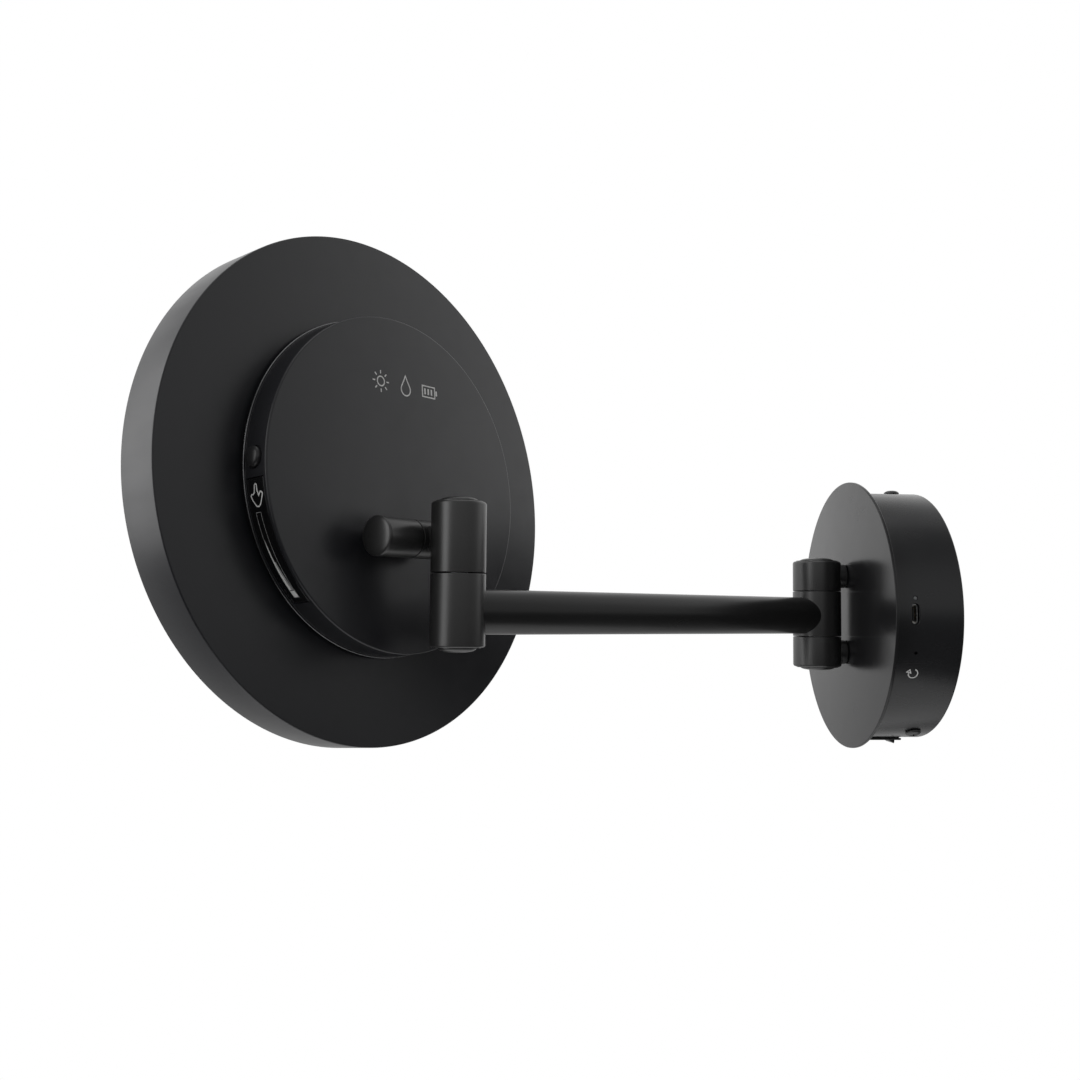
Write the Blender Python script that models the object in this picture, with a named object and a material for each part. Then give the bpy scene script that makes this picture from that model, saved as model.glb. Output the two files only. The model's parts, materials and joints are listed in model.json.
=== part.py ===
"""Extendable shaving mirror for a bathroom wall: a lit round mirror on a swinging arm.

Metres, +Z up. The wall is the plane Y = 0 and the room is towards -Y. The origin is the centre of
the wall bracket's back face. Angles on a drum are counted from +X towards +Z.
"""

import math

import bmesh
import bpy

MM = 0.001
GAP = 0.3 * MM            # clearance between two touching pieces
BIG = 64                  # segments of the large rounds
HIDDEN = 48               # segments of the rounds behind and around the glass
MEDIUM = 30               # segments of the barrels
SMALL = 16                # segments of pins and screws

# Pose at rest, in degrees
ARM_SWING = 32.5          # arm from straight out of the wall, towards +X
HEAD_SWIVEL = -74.5       # head from facing along the arm
HEAD_TILT = 4.7           # back of the head turned up

# Wall unit
PLATE_RADIUS = 67.3 * MM
PLATE_THICKNESS = 1.5 * MM
WALL_UNIT_DEPTH = 35.0 * MM
DRUM_RADIUS = 61.8 * MM
DRUM_WALL = 1.6 * MM
WALL_GAP = 0.5 * MM
BRACKET_RADIUS = 57.5 * MM
BRACKET_THICKNESS = 2.0 * MM
TAB_RADIUS = 59.2 * MM
HOUSING_SCREW_DEPTH = 10.0 * MM
HOUSING_SCREW_ANGLES = {"top": 90, "near": -67, "far": -113}
SCREW_HOLE = 2.3 * MM
SCREW_SHANK = 1.9 * MM
USB_ANGLE = 0.3
USB_DEPTH = 23.5 * MM
USB_WIDTH = 8.94 * MM
USB_HEIGHT = 3.26 * MM
CHARGE_LIGHT_ANGLE = 7.0
RESET_ANGLE = -16.6
RESET_DEPTH = 22.7 * MM
ROCKER_DEPTH = 19.4 * MM
ROCKER_REST = 10.0        # degrees that the rocker leans, with its end by the wall proud
ROCKER_PIVOT = 61.3 * MM

# Wall hinge
HINGE_DEPTH = 49.6 * MM
HINGE_RADIUS = 12.0 * MM
HINGE_HALF = 11.5 * MM    # half the height of the arm's own barrel, seam to seam
HINGE_END = 26.7 * MM
POST_HEIGHT = 19.3 * MM
POST_RADIUS = 6.0 * MM
PIN_RADIUS = 4.0 * MM
SEAM = 0.4 * MM

# Arm and swivel
ARM_LENGTH = 216.5 * MM
TUBE_RADIUS = 9.1 * MM
TUBE_DROP = 0.9 * MM       # tube axis below the middle of its barrels
TUBE_WALL = 1.4 * MM
SWIVEL_RADIUS = 11.0 * MM
SWIVEL_BOTTOM = -14.8 * MM
SWIVEL_SEAM = 14.3 * MM
SWIVEL_TOP = 42.6 * MM
DOME_RISE = 1.0 * MM
LOWER_DOME_RISE = 1.9 * MM  # cap under the swivel

# Tilt joint, seen from the swivel axis
TILT_OFFSET = 17.5 * MM
TILT_HEIGHT = 28.1 * MM
TILT_RADIUS = 7.8 * MM
TILT_SEAM = 9.3 * MM
TILT_OUTER = 27.3 * MM
TILT_CAP_RADIUS = 8.0 * MM
TILT_PIN_RADIUS = 3.0 * MM
TILT_STANDOFF = 12.0 * MM
TILT_DROP = 24.6 * MM
TILT_POST_RADIUS = 5.0 * MM

# Mirror head
HEAD_RADIUS = 107.5 * MM
RIM_DEPTH = 19.8 * MM
SHELL_WALL = 1.6 * MM
HUB_RADIUS = 70.4 * MM
HUB_DEPTH = 14.9 * MM
HUB_LIP_RADIUS = 71.3 * MM
HUB_LIP_HEIGHT = 2.8 * MM
HUB_WALL = 1.8 * MM
MIRROR_RADIUS = 86.0 * MM
MIRROR_SAG = 3.2 * MM     # depth of the concave face
MIRROR_THICKNESS = 3.0 * MM
LIGHT_RING_INNER = 88.6 * MM
LIGHT_RING_OUTER = 105.5 * MM
LED_COUNT = 16
BUTTON_ANGLE = 3.6
BUTTON_RADIUS = 4.1 * MM
BUTTON_HEIGHT = 8.0 * MM
STRIP_START = -2.6
STRIP_END = -44.6
STRIP_LOW = 3.0 * MM
STRIP_HIGH = 13.4 * MM

# Finishes: base colour, roughness, metallic
FINISHES = {
    "black_coat": ((0.022, 0.022, 0.024), 0.45, 0.0),
    "black_plastic": ((0.015, 0.015, 0.016), 0.35, 0.0),
    "gloss_black": ((0.008, 0.008, 0.009), 0.12, 0.0),
    "steel": ((0.55, 0.56, 0.58), 0.3, 1.0),
    "nylon": ((0.75, 0.74, 0.70), 0.5, 0.0),
    "board": ((0.02, 0.16, 0.07), 0.5, 0.0),
    "cell": ((0.10, 0.22, 0.45), 0.4, 0.0),
    "diffuser": ((0.90, 0.90, 0.88), 0.4, 0.0),
    "mirror": ((0.92, 0.93, 0.94), 0.03, 1.0),
    "copper": ((0.55, 0.22, 0.10), 0.4, 1.0),
}


# ---------------------------------------------------------------- helpers

def remove_everything():
    for obj in list(bpy.data.objects):
        bpy.data.objects.remove(obj)


def material(finish, name):
    colour, roughness, metallic = FINISHES[finish]
    made = bpy.data.materials.new(name)
    made.use_nodes = True
    shader = made.node_tree.nodes["Principled BSDF"]
    shader.inputs["Base Color"].default_value = (*colour, 1.0)
    shader.inputs["Roughness"].default_value = roughness
    shader.inputs["Metallic"].default_value = metallic
    return made


def add_object(name, bm, parent, finish):
    """Turns a bmesh into an object. Without a finish it is a cutter."""
    bmesh.ops.recalc_face_normals(bm, faces=bm.faces)
    mesh = bpy.data.meshes.new(name)
    bm.to_mesh(mesh)
    bm.free()
    obj = bpy.data.objects.new(name, mesh)
    bpy.context.scene.collection.objects.link(obj)
    obj.parent = parent
    if finish is None:
        obj.hide_render = True
        obj.display_type = "WIRE"
    else:
        mesh.materials.append(material(finish, name))
        mesh.shade_smooth()
        mesh.set_sharp_from_angle(angle=math.radians(32))
    return obj


def empty(name, parent, location, rotation=(0.0, 0.0, 0.0)):
    made = bpy.data.objects.new(name, None)
    bpy.context.scene.collection.objects.link(made)
    made.parent = parent
    made.location = location
    made.rotation_euler = rotation
    return made


def lathe(name, outline, segments, parent=None, finish=None):
    """Turns an outline of (radius, height) points about local Z.

    An outline that starts and ends on the axis is a solid, and any other one is a closed ring.
    Flat ends are one face each, and a domed end closes in a fan.
    """
    bm = bmesh.new()
    solid = outline[0][0] < 1e-6
    rings = []
    for index, (radius, height) in enumerate(outline):
        neighbour = outline[1] if index == 0 else outline[index - 1]
        if radius < 1e-6 and abs(height - neighbour[1]) < 1e-7:
            continue
        if radius < 1e-6:
            rings.append([bm.verts.new((0.0, 0.0, height))])
            continue
        ring = []
        for step in range(segments):
            turn = 2 * math.pi * step / segments
            ring.append(bm.verts.new((radius * math.cos(turn), radius * math.sin(turn), height)))
        rings.append(ring)
    pairs = list(zip(rings, rings[1:]))
    if not solid:
        pairs.append((rings[-1], rings[0]))
    for end in (rings[0], rings[-1]):
        if solid and len(end) > 1:
            bm.faces.new(end)
    for first, second in pairs:
        for step in range(segments):
            after = (step + 1) % segments
            corners = [first[step % len(first)], first[after % len(first)],
                       second[after % len(second)], second[step % len(second)]]
            unique = list(dict.fromkeys(corners))
            if len(unique) > 2:
                bm.faces.new(unique)
    return add_object(name, bm, parent, finish)


def rod(name, radius, low, high, segments=SMALL, parent=None, finish=None):
    outline = [(0, low), (radius, low), (radius, high), (0, high)]
    return lathe(name, outline, segments, parent, finish)


def block(name, size, centre, parent=None, finish=None):
    bm = bmesh.new()
    bmesh.ops.create_cube(bm, size=1.0)
    bmesh.ops.scale(bm, vec=size, verts=bm.verts)
    bmesh.ops.translate(bm, vec=centre, verts=bm.verts)
    return add_object(name, bm, parent, finish)


def prism(name, outline, low, high, parent=None, finish=None):
    """Extrudes an outline of (y, z) points along local X."""
    bm = bmesh.new()
    verts = [bm.verts.new((low, y, z)) for y, z in outline]
    face = bm.faces.new(verts)
    made = bmesh.ops.extrude_face_region(bm, geom=[face])
    moved = [item for item in made["geom"] if isinstance(item, bmesh.types.BMVert)]
    bmesh.ops.translate(bm, vec=(high - low, 0.0, 0.0), verts=moved)
    return add_object(name, bm, parent, finish)


def arc_strip(name, radii, depths, angles, steps, parent=None, finish=None):
    """A curved bar about the Y axis: radii, Y depths and angles in degrees are (from, to)."""
    bm = bmesh.new()
    corners = [(radii[0], depths[0]), (radii[1], depths[0]), (radii[1], depths[1]), (radii[0], depths[1])]
    rings = []
    for step in range(steps + 1):
        turn = math.radians(angles[0] + (angles[1] - angles[0]) * step / steps)
        ring = [bm.verts.new((r * math.cos(turn), y, r * math.sin(turn))) for r, y in corners]
        rings.append(ring)
    for first, second in zip(rings, rings[1:]):
        for side in range(4):
            after = (side + 1) % 4
            bm.faces.new((first[side], first[after], second[after], second[side]))
    bm.faces.new(rings[0])
    bm.faces.new(rings[-1])
    return add_object(name, bm, parent, finish)


def stadium(name, width, height, low, high, steps=6, parent=None, finish=None):
    """A slot shape, long along local X, extruded along local Z."""
    bm = bmesh.new()
    radius = height / 2
    verts = []
    for side in (1, -1):
        for step in range(steps + 1):
            turn = math.pi * (step / steps - 0.5) + (0 if side > 0 else math.pi)
            x = side * (width / 2 - radius) + radius * math.cos(turn)
            verts.append(bm.verts.new((x, radius * math.sin(turn), low)))
    face = bm.faces.new(verts)
    made = bmesh.ops.extrude_face_region(bm, geom=[face])
    moved = [item for item in made["geom"] if isinstance(item, bmesh.types.BMVert)]
    bmesh.ops.translate(bm, vec=(0.0, 0.0, high - low), verts=moved)
    return add_object(name, bm, parent, finish)


def boolean(obj, tool, operation):
    tool.hide_render = True
    tool.display_type = "WIRE"
    modifier = obj.modifiers.new(operation.lower(), "BOOLEAN")
    modifier.object = tool
    modifier.operation = operation
    modifier.solver = "EXACT"


def cut(obj, *tools):
    for tool in tools:
        boolean(obj, tool, "DIFFERENCE")


def join(obj, *tools):
    for tool in tools:
        boolean(obj, tool, "UNION")


def face_room(obj):
    """Local +Z towards the room."""
    obj.rotation_euler = (math.radians(90), 0.0, 0.0)
    return obj


def face_wall(obj):
    """Local +Z towards the wall, or towards the back of the head."""
    obj.rotation_euler = (math.radians(-90), 0.0, 0.0)
    return obj


def along_x(obj):
    obj.rotation_euler = (0.0, math.radians(90), 0.0)
    return obj


def radial(obj, angle, depth, radius=0.0):
    """Local +Z points out of a drum about Y, local Y stays along the drum's axis."""
    turn = math.radians(angle)
    obj.rotation_euler = (0.0, math.radians(90) - turn, 0.0)
    obj.location = (radius * math.cos(turn), depth, radius * math.sin(turn))
    return obj


def at(obj, x=0.0, y=0.0, z=0.0):
    obj.location = (x, y, z)
    return obj


# ---------------------------------------------------------------- wall unit

def wall_bracket():
    """Flat disc on the wall with three bent tabs that take the housing screws."""
    disc = face_room(rod("wall_bracket", BRACKET_RADIUS, 0, BRACKET_THICKNESS, BIG, None, "steel"))
    for label, angle in HOUSING_SCREW_ANGLES.items():
        tab = arc_strip(f"tab_{label}", (56.0 * MM, TAB_RADIUS), (-15 * MM, -0.5 * MM),
                        (angle - 8, angle + 8), 4)
        join(disc, tab)
    for label, angle in HOUSING_SCREW_ANGLES.items():
        hole = rod(f"tab_hole_{label}", SCREW_HOLE, 50 * MM, 64 * MM)
        cut(disc, radial(hole, angle, -HOUSING_SCREW_DEPTH))
    for side in (-1, 1):
        hole = face_room(rod(f"wall_hole_{side}", 2.6 * MM, -3 * MM, 5 * MM))
        cut(disc, at(hole, x=side * 48 * MM))


def drum_housing():
    outer, inner = DRUM_RADIUS, DRUM_RADIUS - DRUM_WALL
    front = WALL_UNIT_DEPTH - PLATE_THICKNESS - GAP
    outline = [(outer - 1.0 * MM, WALL_GAP), (outer - 0.3 * MM, WALL_GAP + 0.3 * MM),
               (outer, WALL_GAP + 1.0 * MM), (outer, front), (50 * MM, front),
               (50 * MM, front - DRUM_WALL), (inner, front - DRUM_WALL), (inner, WALL_GAP)]
    drum = face_room(lathe("drum_housing", outline, BIG, None, "black_coat"))
    slot = stadium("usb_slot", USB_WIDTH + 2 * GAP, USB_HEIGHT + 2 * GAP, 55 * MM, 65 * MM)
    cut(drum, radial(slot, USB_ANGLE, -USB_DEPTH))
    light = rod("charge_light_hole", 1.15 * MM, 55 * MM, 65 * MM)
    cut(drum, radial(light, CHARGE_LIGHT_ANGLE, -USB_DEPTH))
    reset = rod("reset_hole", 0.75 * MM, 55 * MM, 65 * MM, 12)
    cut(drum, radial(reset, RESET_ANGLE, -RESET_DEPTH))
    rocker = block("rocker_hole", (13.8 * MM, 19.8 * MM, 20 * MM), (0, 0, 60 * MM))
    cut(drum, radial(rocker, -90, -ROCKER_DEPTH))
    for label, angle in HOUSING_SCREW_ANGLES.items():
        hole = rod(f"housing_hole_{label}", SCREW_HOLE, 58.5 * MM, 65 * MM)
        cut(drum, radial(hole, angle, -HOUSING_SCREW_DEPTH))


def front_plate():
    back = WALL_UNIT_DEPTH - PLATE_THICKNESS
    edge = 0.3 * MM
    outline = [(0, back), (PLATE_RADIUS - edge, back), (PLATE_RADIUS, back + edge),
               (PLATE_RADIUS, WALL_UNIT_DEPTH - edge), (PLATE_RADIUS - edge, WALL_UNIT_DEPTH),
               (0, WALL_UNIT_DEPTH)]
    plate = face_room(lathe("front_plate", outline, BIG, None, "black_coat"))
    for side in (-1, 1):
        hole = face_room(rod(f"post_hole_{side}", SCREW_HOLE, 30 * MM, 40 * MM))
        cut(plate, at(hole, z=side * POST_HEIGHT))


def housing_screws():
    head, rise = 3.8 * MM, 1.75 * MM
    low, seat = 53.5 * MM, DRUM_RADIUS + GAP
    for label, angle in HOUSING_SCREW_ANGLES.items():
        outline = [(0, low), (SCREW_SHANK, low), (SCREW_SHANK, seat), (head, seat),
                   (head * 0.98, seat + rise * 0.35), (head * 0.78, seat + rise * 0.75),
                   (head * 0.4, seat + rise * 0.97), (0, seat + rise)]
        screw = lathe(f"housing_screw_{label}", outline, SMALL, None, "black_coat")
        radial(screw, angle, -HOUSING_SCREW_DEPTH)


def battery():
    """Two round cells in an open tray behind the front plate."""
    low, high = 3.0 * MM, 13.0 * MM
    cell_depth, cell_radius, cell_half = 14.0 * MM, 9.2 * MM, 32.5 * MM
    places = (-31.5 * MM, -11.5 * MM)
    middle = (places[0] + places[1]) / 2
    tray = block("battery_tray", (41 * MM, high - low, 70 * MM), (middle, -(low + high) / 2, 0),
                 None, "black_plastic")
    for index, x in enumerate(places, start=1):
        trough = rod(f"trough_{index}", cell_radius + GAP, -33 * MM, 33 * MM, 24)
        cut(tray, at(trough, x=x, y=-cell_depth))
        outline = [(0, -cell_half), (cell_radius, -cell_half), (cell_radius, cell_half - 1 * MM),
                   (3 * MM, cell_half - 1 * MM), (3 * MM, cell_half), (0, cell_half)]
        at(lathe(f"battery_cell_{index}", outline, 24, None, "cell"), x=x, y=-cell_depth)


def charge_electronics():
    high = USB_DEPTH - USB_HEIGHT / 2 - GAP
    board_depth = high - 0.8 * MM
    board = block("charge_board", (48 * MM, 1.6 * MM, 42 * MM), (28 * MM, -board_depth, -1 * MM),
                  None, "board")
    for index, (x, z, wide, tall) in enumerate(((18, 8, 12, 12), (34, -12, 8, 6), (14, -14, 5, 8))):
        chip = block(f"chip_{index}", (wide * MM, 2.4 * MM, tall * MM),
                     (x * MM, -(board_depth - 1.6 * MM), z * MM))
        join(board, chip)
    shell = stadium("usb_c_socket", USB_WIDTH, USB_HEIGHT, 52 * MM, DRUM_RADIUS - 0.5 * MM,
                    6, None, "steel")
    radial(shell, USB_ANGLE, -USB_DEPTH)
    wall = 0.35 * MM
    mouth = stadium("usb_mouth", USB_WIDTH - 2 * wall, USB_HEIGHT - 2 * wall, 55 * MM, 65 * MM)
    tongue = block("usb_tongue", (6.6 * MM, 0.7 * MM, 10 * MM), (0, 0, 55.5 * MM))
    cut(mouth, tongue)
    cut(shell, radial(mouth, USB_ANGLE, -USB_DEPTH))
    radial(tongue, USB_ANGLE, -USB_DEPTH)
    pipe = rod("charge_light", 0.85 * MM, 54 * MM, DRUM_RADIUS + 0.1 * MM, 12, None, "diffuser")
    radial(pipe, CHARGE_LIGHT_ANGLE, -USB_DEPTH)
    switch = block("reset_switch", (6 * MM, 3.2 * MM, 3.5 * MM), (0, -0.8 * MM, 55.2 * MM),
                   None, "black_plastic")
    radial(switch, RESET_ANGLE, -RESET_DEPTH)
    button = rod("reset_plunger", 1.1 * MM, 57.4 * MM, 59.4 * MM, 12, None, "nylon")
    radial(button, RESET_ANGLE, -RESET_DEPTH)


def power_switch():
    """Rocker switch in the underside of the drum, its rocker proud at the wall end."""
    seat, top, low = DRUM_RADIUS + GAP, DRUM_RADIUS + 1.1 * MM, 47 * MM
    lap = 0.4 * MM
    body = block("power_switch_body", (13.2 * MM, 19.2 * MM, lap + seat - low),
                 (0, 0, (low + seat + lap) / 2), None, "black_plastic")
    flange = block("switch_flange", (15 * MM, 21 * MM, top - seat), (0, 0, (seat + top) / 2))
    well = block("switch_well", (10.8 * MM, 17.6 * MM, 12 * MM), (0, 0, ROCKER_PIVOT + 2.0 * MM))
    join(body, radial(flange, -90, -ROCKER_DEPTH))
    cut(body, radial(well, -90, -ROCKER_DEPTH))
    radial(body, -90, -ROCKER_DEPTH)
    outline = [(-8 * MM, 2.2 * MM), (-4 * MM, 0.9 * MM), (0, 0.5 * MM), (4 * MM, 0.9 * MM),
               (8 * MM, 2.2 * MM), (8 * MM, -0.4 * MM), (0, -2.4 * MM), (-8 * MM, -0.4 * MM)]
    rocker = prism("power_rocker", outline, -5.1 * MM, 5.1 * MM, None, "gloss_black")
    radial(rocker, -90, -ROCKER_DEPTH, ROCKER_PIVOT)
    rocker.rotation_euler = (math.radians(180 + ROCKER_REST), 0.0, math.radians(180))


def hinge_knuckle(name, side):
    """Fixed knuckle of the wall hinge with its post to the front plate. side is 1 above, -1 below."""
    low, high, edge = HINGE_HALF + SEAM / 2, HINGE_END, 0.5 * MM
    outline = [(PIN_RADIUS + GAP, low), (HINGE_RADIUS, low), (HINGE_RADIUS, high - edge),
               (HINGE_RADIUS - edge, high), (PIN_RADIUS + GAP, high)]
    outline = [(radius, side * height) for radius, height in outline]
    knuckle = at(lathe(name, outline, MEDIUM, None, "black_coat"), y=-HINGE_DEPTH)
    length = HINGE_DEPTH - WALL_UNIT_DEPTH - GAP
    post = face_wall(rod(f"{name}_post", POST_RADIUS, 6 * MM, length, 24))
    join(knuckle, at(post, y=-HINGE_DEPTH, z=side * POST_HEIGHT))
    tap = face_wall(rod(f"{name}_tap", SCREW_HOLE, 6.3 * MM, 20 * MM))
    cut(knuckle, at(tap, y=-HINGE_DEPTH, z=side * POST_HEIGHT))


def hinge_small_parts():
    pin_end = HINGE_END - GAP
    at(rod("hinge_pin", PIN_RADIUS, -pin_end, pin_end, 24, None, "steel"), y=-HINGE_DEPTH)
    for label, side in (("top", 1), ("bottom", -1)):
        dome_cap(f"hinge_cap_{label}", HINGE_RADIUS, side * (HINGE_END + GAP), side, None, (0, -HINGE_DEPTH, 0))
        head = WALL_UNIT_DEPTH - PLATE_THICKNESS - GAP
        outline = [(0, head - 2.2 * MM), (3.6 * MM, head - 2.2 * MM), (3.6 * MM, head),
                   (SCREW_SHANK, head), (SCREW_SHANK, HINGE_DEPTH - 7 * MM), (0, HINGE_DEPTH - 7 * MM)]
        screw = face_room(lathe(f"post_screw_{label}", outline, SMALL, None, "steel"))
        at(screw, z=side * POST_HEIGHT)


def dome_cap(name, radius, base, side, parent, location, rise=DOME_RISE):
    """Low dome on the end of a barrel. side is 1 for an upper end and -1 for a lower one."""
    outline = [(0, 0), (radius - 0.7 * MM, 0), (radius - 0.9 * MM, rise * 0.3),
               (radius * 0.72, rise * 0.66), (radius * 0.4, rise * 0.92), (0, rise)]
    outline = [(r, base + side * height) for r, height in outline]
    cap = lathe(name, outline, MEDIUM, parent, "black_coat")
    cap.location = location
    return cap


# ---------------------------------------------------------------- arm

def washer(name, low, high, radius, parent, bore=PIN_RADIUS):
    outline = [(bore + GAP, low), (radius, low), (radius, high), (bore + GAP, high)]
    return lathe(name, outline, 24, parent, "nylon")


def arm_hinge_barrel(parent):
    """The arm's own barrel of the wall hinge, with a recess at each end for a friction washer."""
    half, recess, deep = HINGE_HALF - SEAM / 2, 9.0 * MM, 0.9 * MM
    bore = PIN_RADIUS + GAP
    outline = [(bore, -half + deep), (recess, -half + deep), (recess, -half), (HINGE_RADIUS, -half),
               (HINGE_RADIUS, half), (recess, half), (recess, half - deep), (bore, half - deep)]
    barrel = lathe("arm_hinge_barrel", outline, MEDIUM, parent, "black_coat")
    passage = face_room(rod("hinge_cable_hole", 2.6 * MM, 0, 20 * MM, SMALL, parent))
    cut(barrel, passage)
    washer("hinge_washer_top", half - deep + GAP, half + 0.05 * MM, recess - GAP, parent)
    washer("hinge_washer_bottom", -half - 0.05 * MM, -half + deep - GAP, recess - GAP, parent)


def arm_tube(parent):
    outline = [(TUBE_RADIUS - TUBE_WALL, 6 * MM), (TUBE_RADIUS, 6 * MM),
               (TUBE_RADIUS, ARM_LENGTH - 6 * MM), (TUBE_RADIUS - TUBE_WALL, ARM_LENGTH - 6 * MM)]
    tube = at(face_room(lathe("arm_tube", outline, MEDIUM, parent, "black_coat")), z=-TUBE_DROP)
    near = rod("hinge_saddle", HINGE_RADIUS + GAP, -14 * MM, 14 * MM, MEDIUM, parent)
    far = at(rod("swivel_saddle", SWIVEL_RADIUS + GAP, -14 * MM, 14 * MM, MEDIUM, parent), y=-ARM_LENGTH)
    cut(tube, near, far)
    start, end = HINGE_RADIUS + 2 * GAP, ARM_LENGTH - SWIVEL_RADIUS - 2 * GAP
    at(face_room(rod("arm_cable", 1.8 * MM, start, end, 12, parent, "black_plastic")), z=-TUBE_DROP)


def arm_swivel_barrel(parent):
    """Lower half of the head's swivel, blind below, with a washer recess on top."""
    low, high, recess, deep = SWIVEL_BOTTOM, SWIVEL_SEAM - SEAM / 2, 8.5 * MM, 0.9 * MM
    bore, edge, floor = PIN_RADIUS + GAP, 0.6 * MM, SWIVEL_BOTTOM + 3 * MM
    outline = [(0, low), (SWIVEL_RADIUS - edge, low), (SWIVEL_RADIUS, low + edge), (SWIVEL_RADIUS, high),
               (recess, high), (recess, high - deep), (bore, high - deep), (bore, floor), (0, floor)]
    barrel = at(lathe("arm_swivel_barrel", outline, MEDIUM, parent, "black_coat"), y=-ARM_LENGTH)
    passage = face_wall(rod("swivel_cable_hole", 2.6 * MM, 0, 20 * MM, SMALL, parent))
    cut(barrel, at(passage, y=-ARM_LENGTH))
    ring = washer("swivel_washer", high - deep + GAP, high + 0.05 * MM, recess - GAP, parent)
    at(ring, y=-ARM_LENGTH)
    dome_cap("swivel_cap_bottom", SWIVEL_RADIUS, low - GAP, -1, parent, (0, -ARM_LENGTH, 0), LOWER_DOME_RISE)


# ---------------------------------------------------------------- swivel

def swivel_bracket(parent):
    """Upper half of the swivel with the fixed half of the tilt barrel on its head side."""
    low, high, edge = SWIVEL_SEAM + SEAM / 2, SWIVEL_TOP, 0.6 * MM
    bore, roof = PIN_RADIUS + GAP, SWIVEL_TOP - 3 * MM
    outline = [(0, high), (SWIVEL_RADIUS - edge, high), (SWIVEL_RADIUS, high - edge), (SWIVEL_RADIUS, low),
               (bore, low), (bore, roof), (0, roof)]
    bracket = lathe("swivel_bracket", outline, MEDIUM, parent, "black_coat")
    half = TILT_SEAM - SEAM / 2
    stub = along_x(rod("tilt_stub", TILT_RADIUS, -half, half, 28, parent))
    at(stub, y=-TILT_OFFSET, z=TILT_HEIGHT)
    neck = block("tilt_neck", (13 * MM, 9 * MM, 10 * MM), (0, -TILT_OFFSET * 0.62, TILT_HEIGHT), parent)
    join(bracket, stub, neck)
    bore_tool = along_x(rod("tilt_bore", TILT_PIN_RADIUS + GAP, -half + 3 * MM, 20 * MM, SMALL, parent))
    cut(bracket, at(bore_tool, y=-TILT_OFFSET, z=TILT_HEIGHT))
    dome_cap("swivel_cap_top", SWIVEL_RADIUS, high + GAP, 1, parent, (0, 0, 0))
    rod("swivel_pin", PIN_RADIUS, SWIVEL_BOTTOM + 3.6 * MM, roof - GAP, 24, parent, "steel")
    pin = along_x(rod("tilt_pin", TILT_PIN_RADIUS, -half + 3.5 * MM, TILT_OUTER - 1.5 * MM, SMALL, parent, "steel"))
    at(pin, y=-TILT_OFFSET, z=TILT_HEIGHT)
    outline = [(0, 0), (TILT_RADIUS - 0.6 * MM, 0), (TILT_RADIUS * 0.9, 0.3 * MM),
               (TILT_RADIUS * 0.5, 0.8 * MM), (0, 1.0 * MM)]
    outline = [(r, -half - GAP - height) for r, height in outline]
    cap = along_x(lathe("tilt_cap_inner", outline, 28, parent, "black_coat"))
    at(cap, y=-TILT_OFFSET, z=TILT_HEIGHT)


# ---------------------------------------------------------------- mirror head

def tilt_knuckle(parent):
    """The head's half of the tilt barrel, on a short post that stands on the hub."""
    low, high = TILT_SEAM + SEAM / 2, TILT_OUTER - GAP
    recess, deep, bore = 5.6 * MM, 0.9 * MM, TILT_PIN_RADIUS + GAP
    outline = [(bore, low + deep), (recess, low + deep), (recess, low), (TILT_RADIUS, low),
               (TILT_RADIUS, high), (bore, high)]
    knuckle = along_x(lathe("tilt_knuckle", outline, 28, parent, "black_coat"))
    middle = (TILT_SEAM + TILT_OUTER) / 2
    post = face_room(rod("tilt_post", TILT_POST_RADIUS, 4.5 * MM, TILT_STANDOFF - GAP, 20, parent))
    join(knuckle, at(post, x=middle))
    tap = face_room(rod("tilt_post_tap", SCREW_HOLE, 5.0 * MM, 20 * MM, SMALL, parent))
    cut(knuckle, at(tap, x=middle))
    along_x(washer("tilt_washer", low - 0.05 * MM, low + deep - GAP, recess - GAP, parent, TILT_PIN_RADIUS))
    outline = [(0, 0), (TILT_CAP_RADIUS, 0), (TILT_CAP_RADIUS, 0.3 * MM), (TILT_CAP_RADIUS * 0.94, 0.8 * MM),
               (TILT_CAP_RADIUS * 0.75, 1.2 * MM), (TILT_CAP_RADIUS * 0.4, 1.6 * MM), (0, 1.7 * MM)]
    outline = [(r, TILT_OUTER + height) for r, height in outline]
    along_x(lathe("tilt_cap_outer", outline, 28, parent, "black_coat"))


def rear_shell(parent):
    """Flat back and rim of the head in one turned cup, open at the mirror side."""
    edge, hole = 0.4 * MM, 12 * MM
    inner = HEAD_RADIUS - SHELL_WALL
    outline = [(hole, 0), (HEAD_RADIUS - edge, 0), (HEAD_RADIUS, -edge), (HEAD_RADIUS, -RIM_DEPTH),
               (inner, -RIM_DEPTH), (inner, -SHELL_WALL), (hole, -SHELL_WALL)]
    face_wall(lathe("rear_shell", outline, BIG, parent, "black_coat"))


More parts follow.
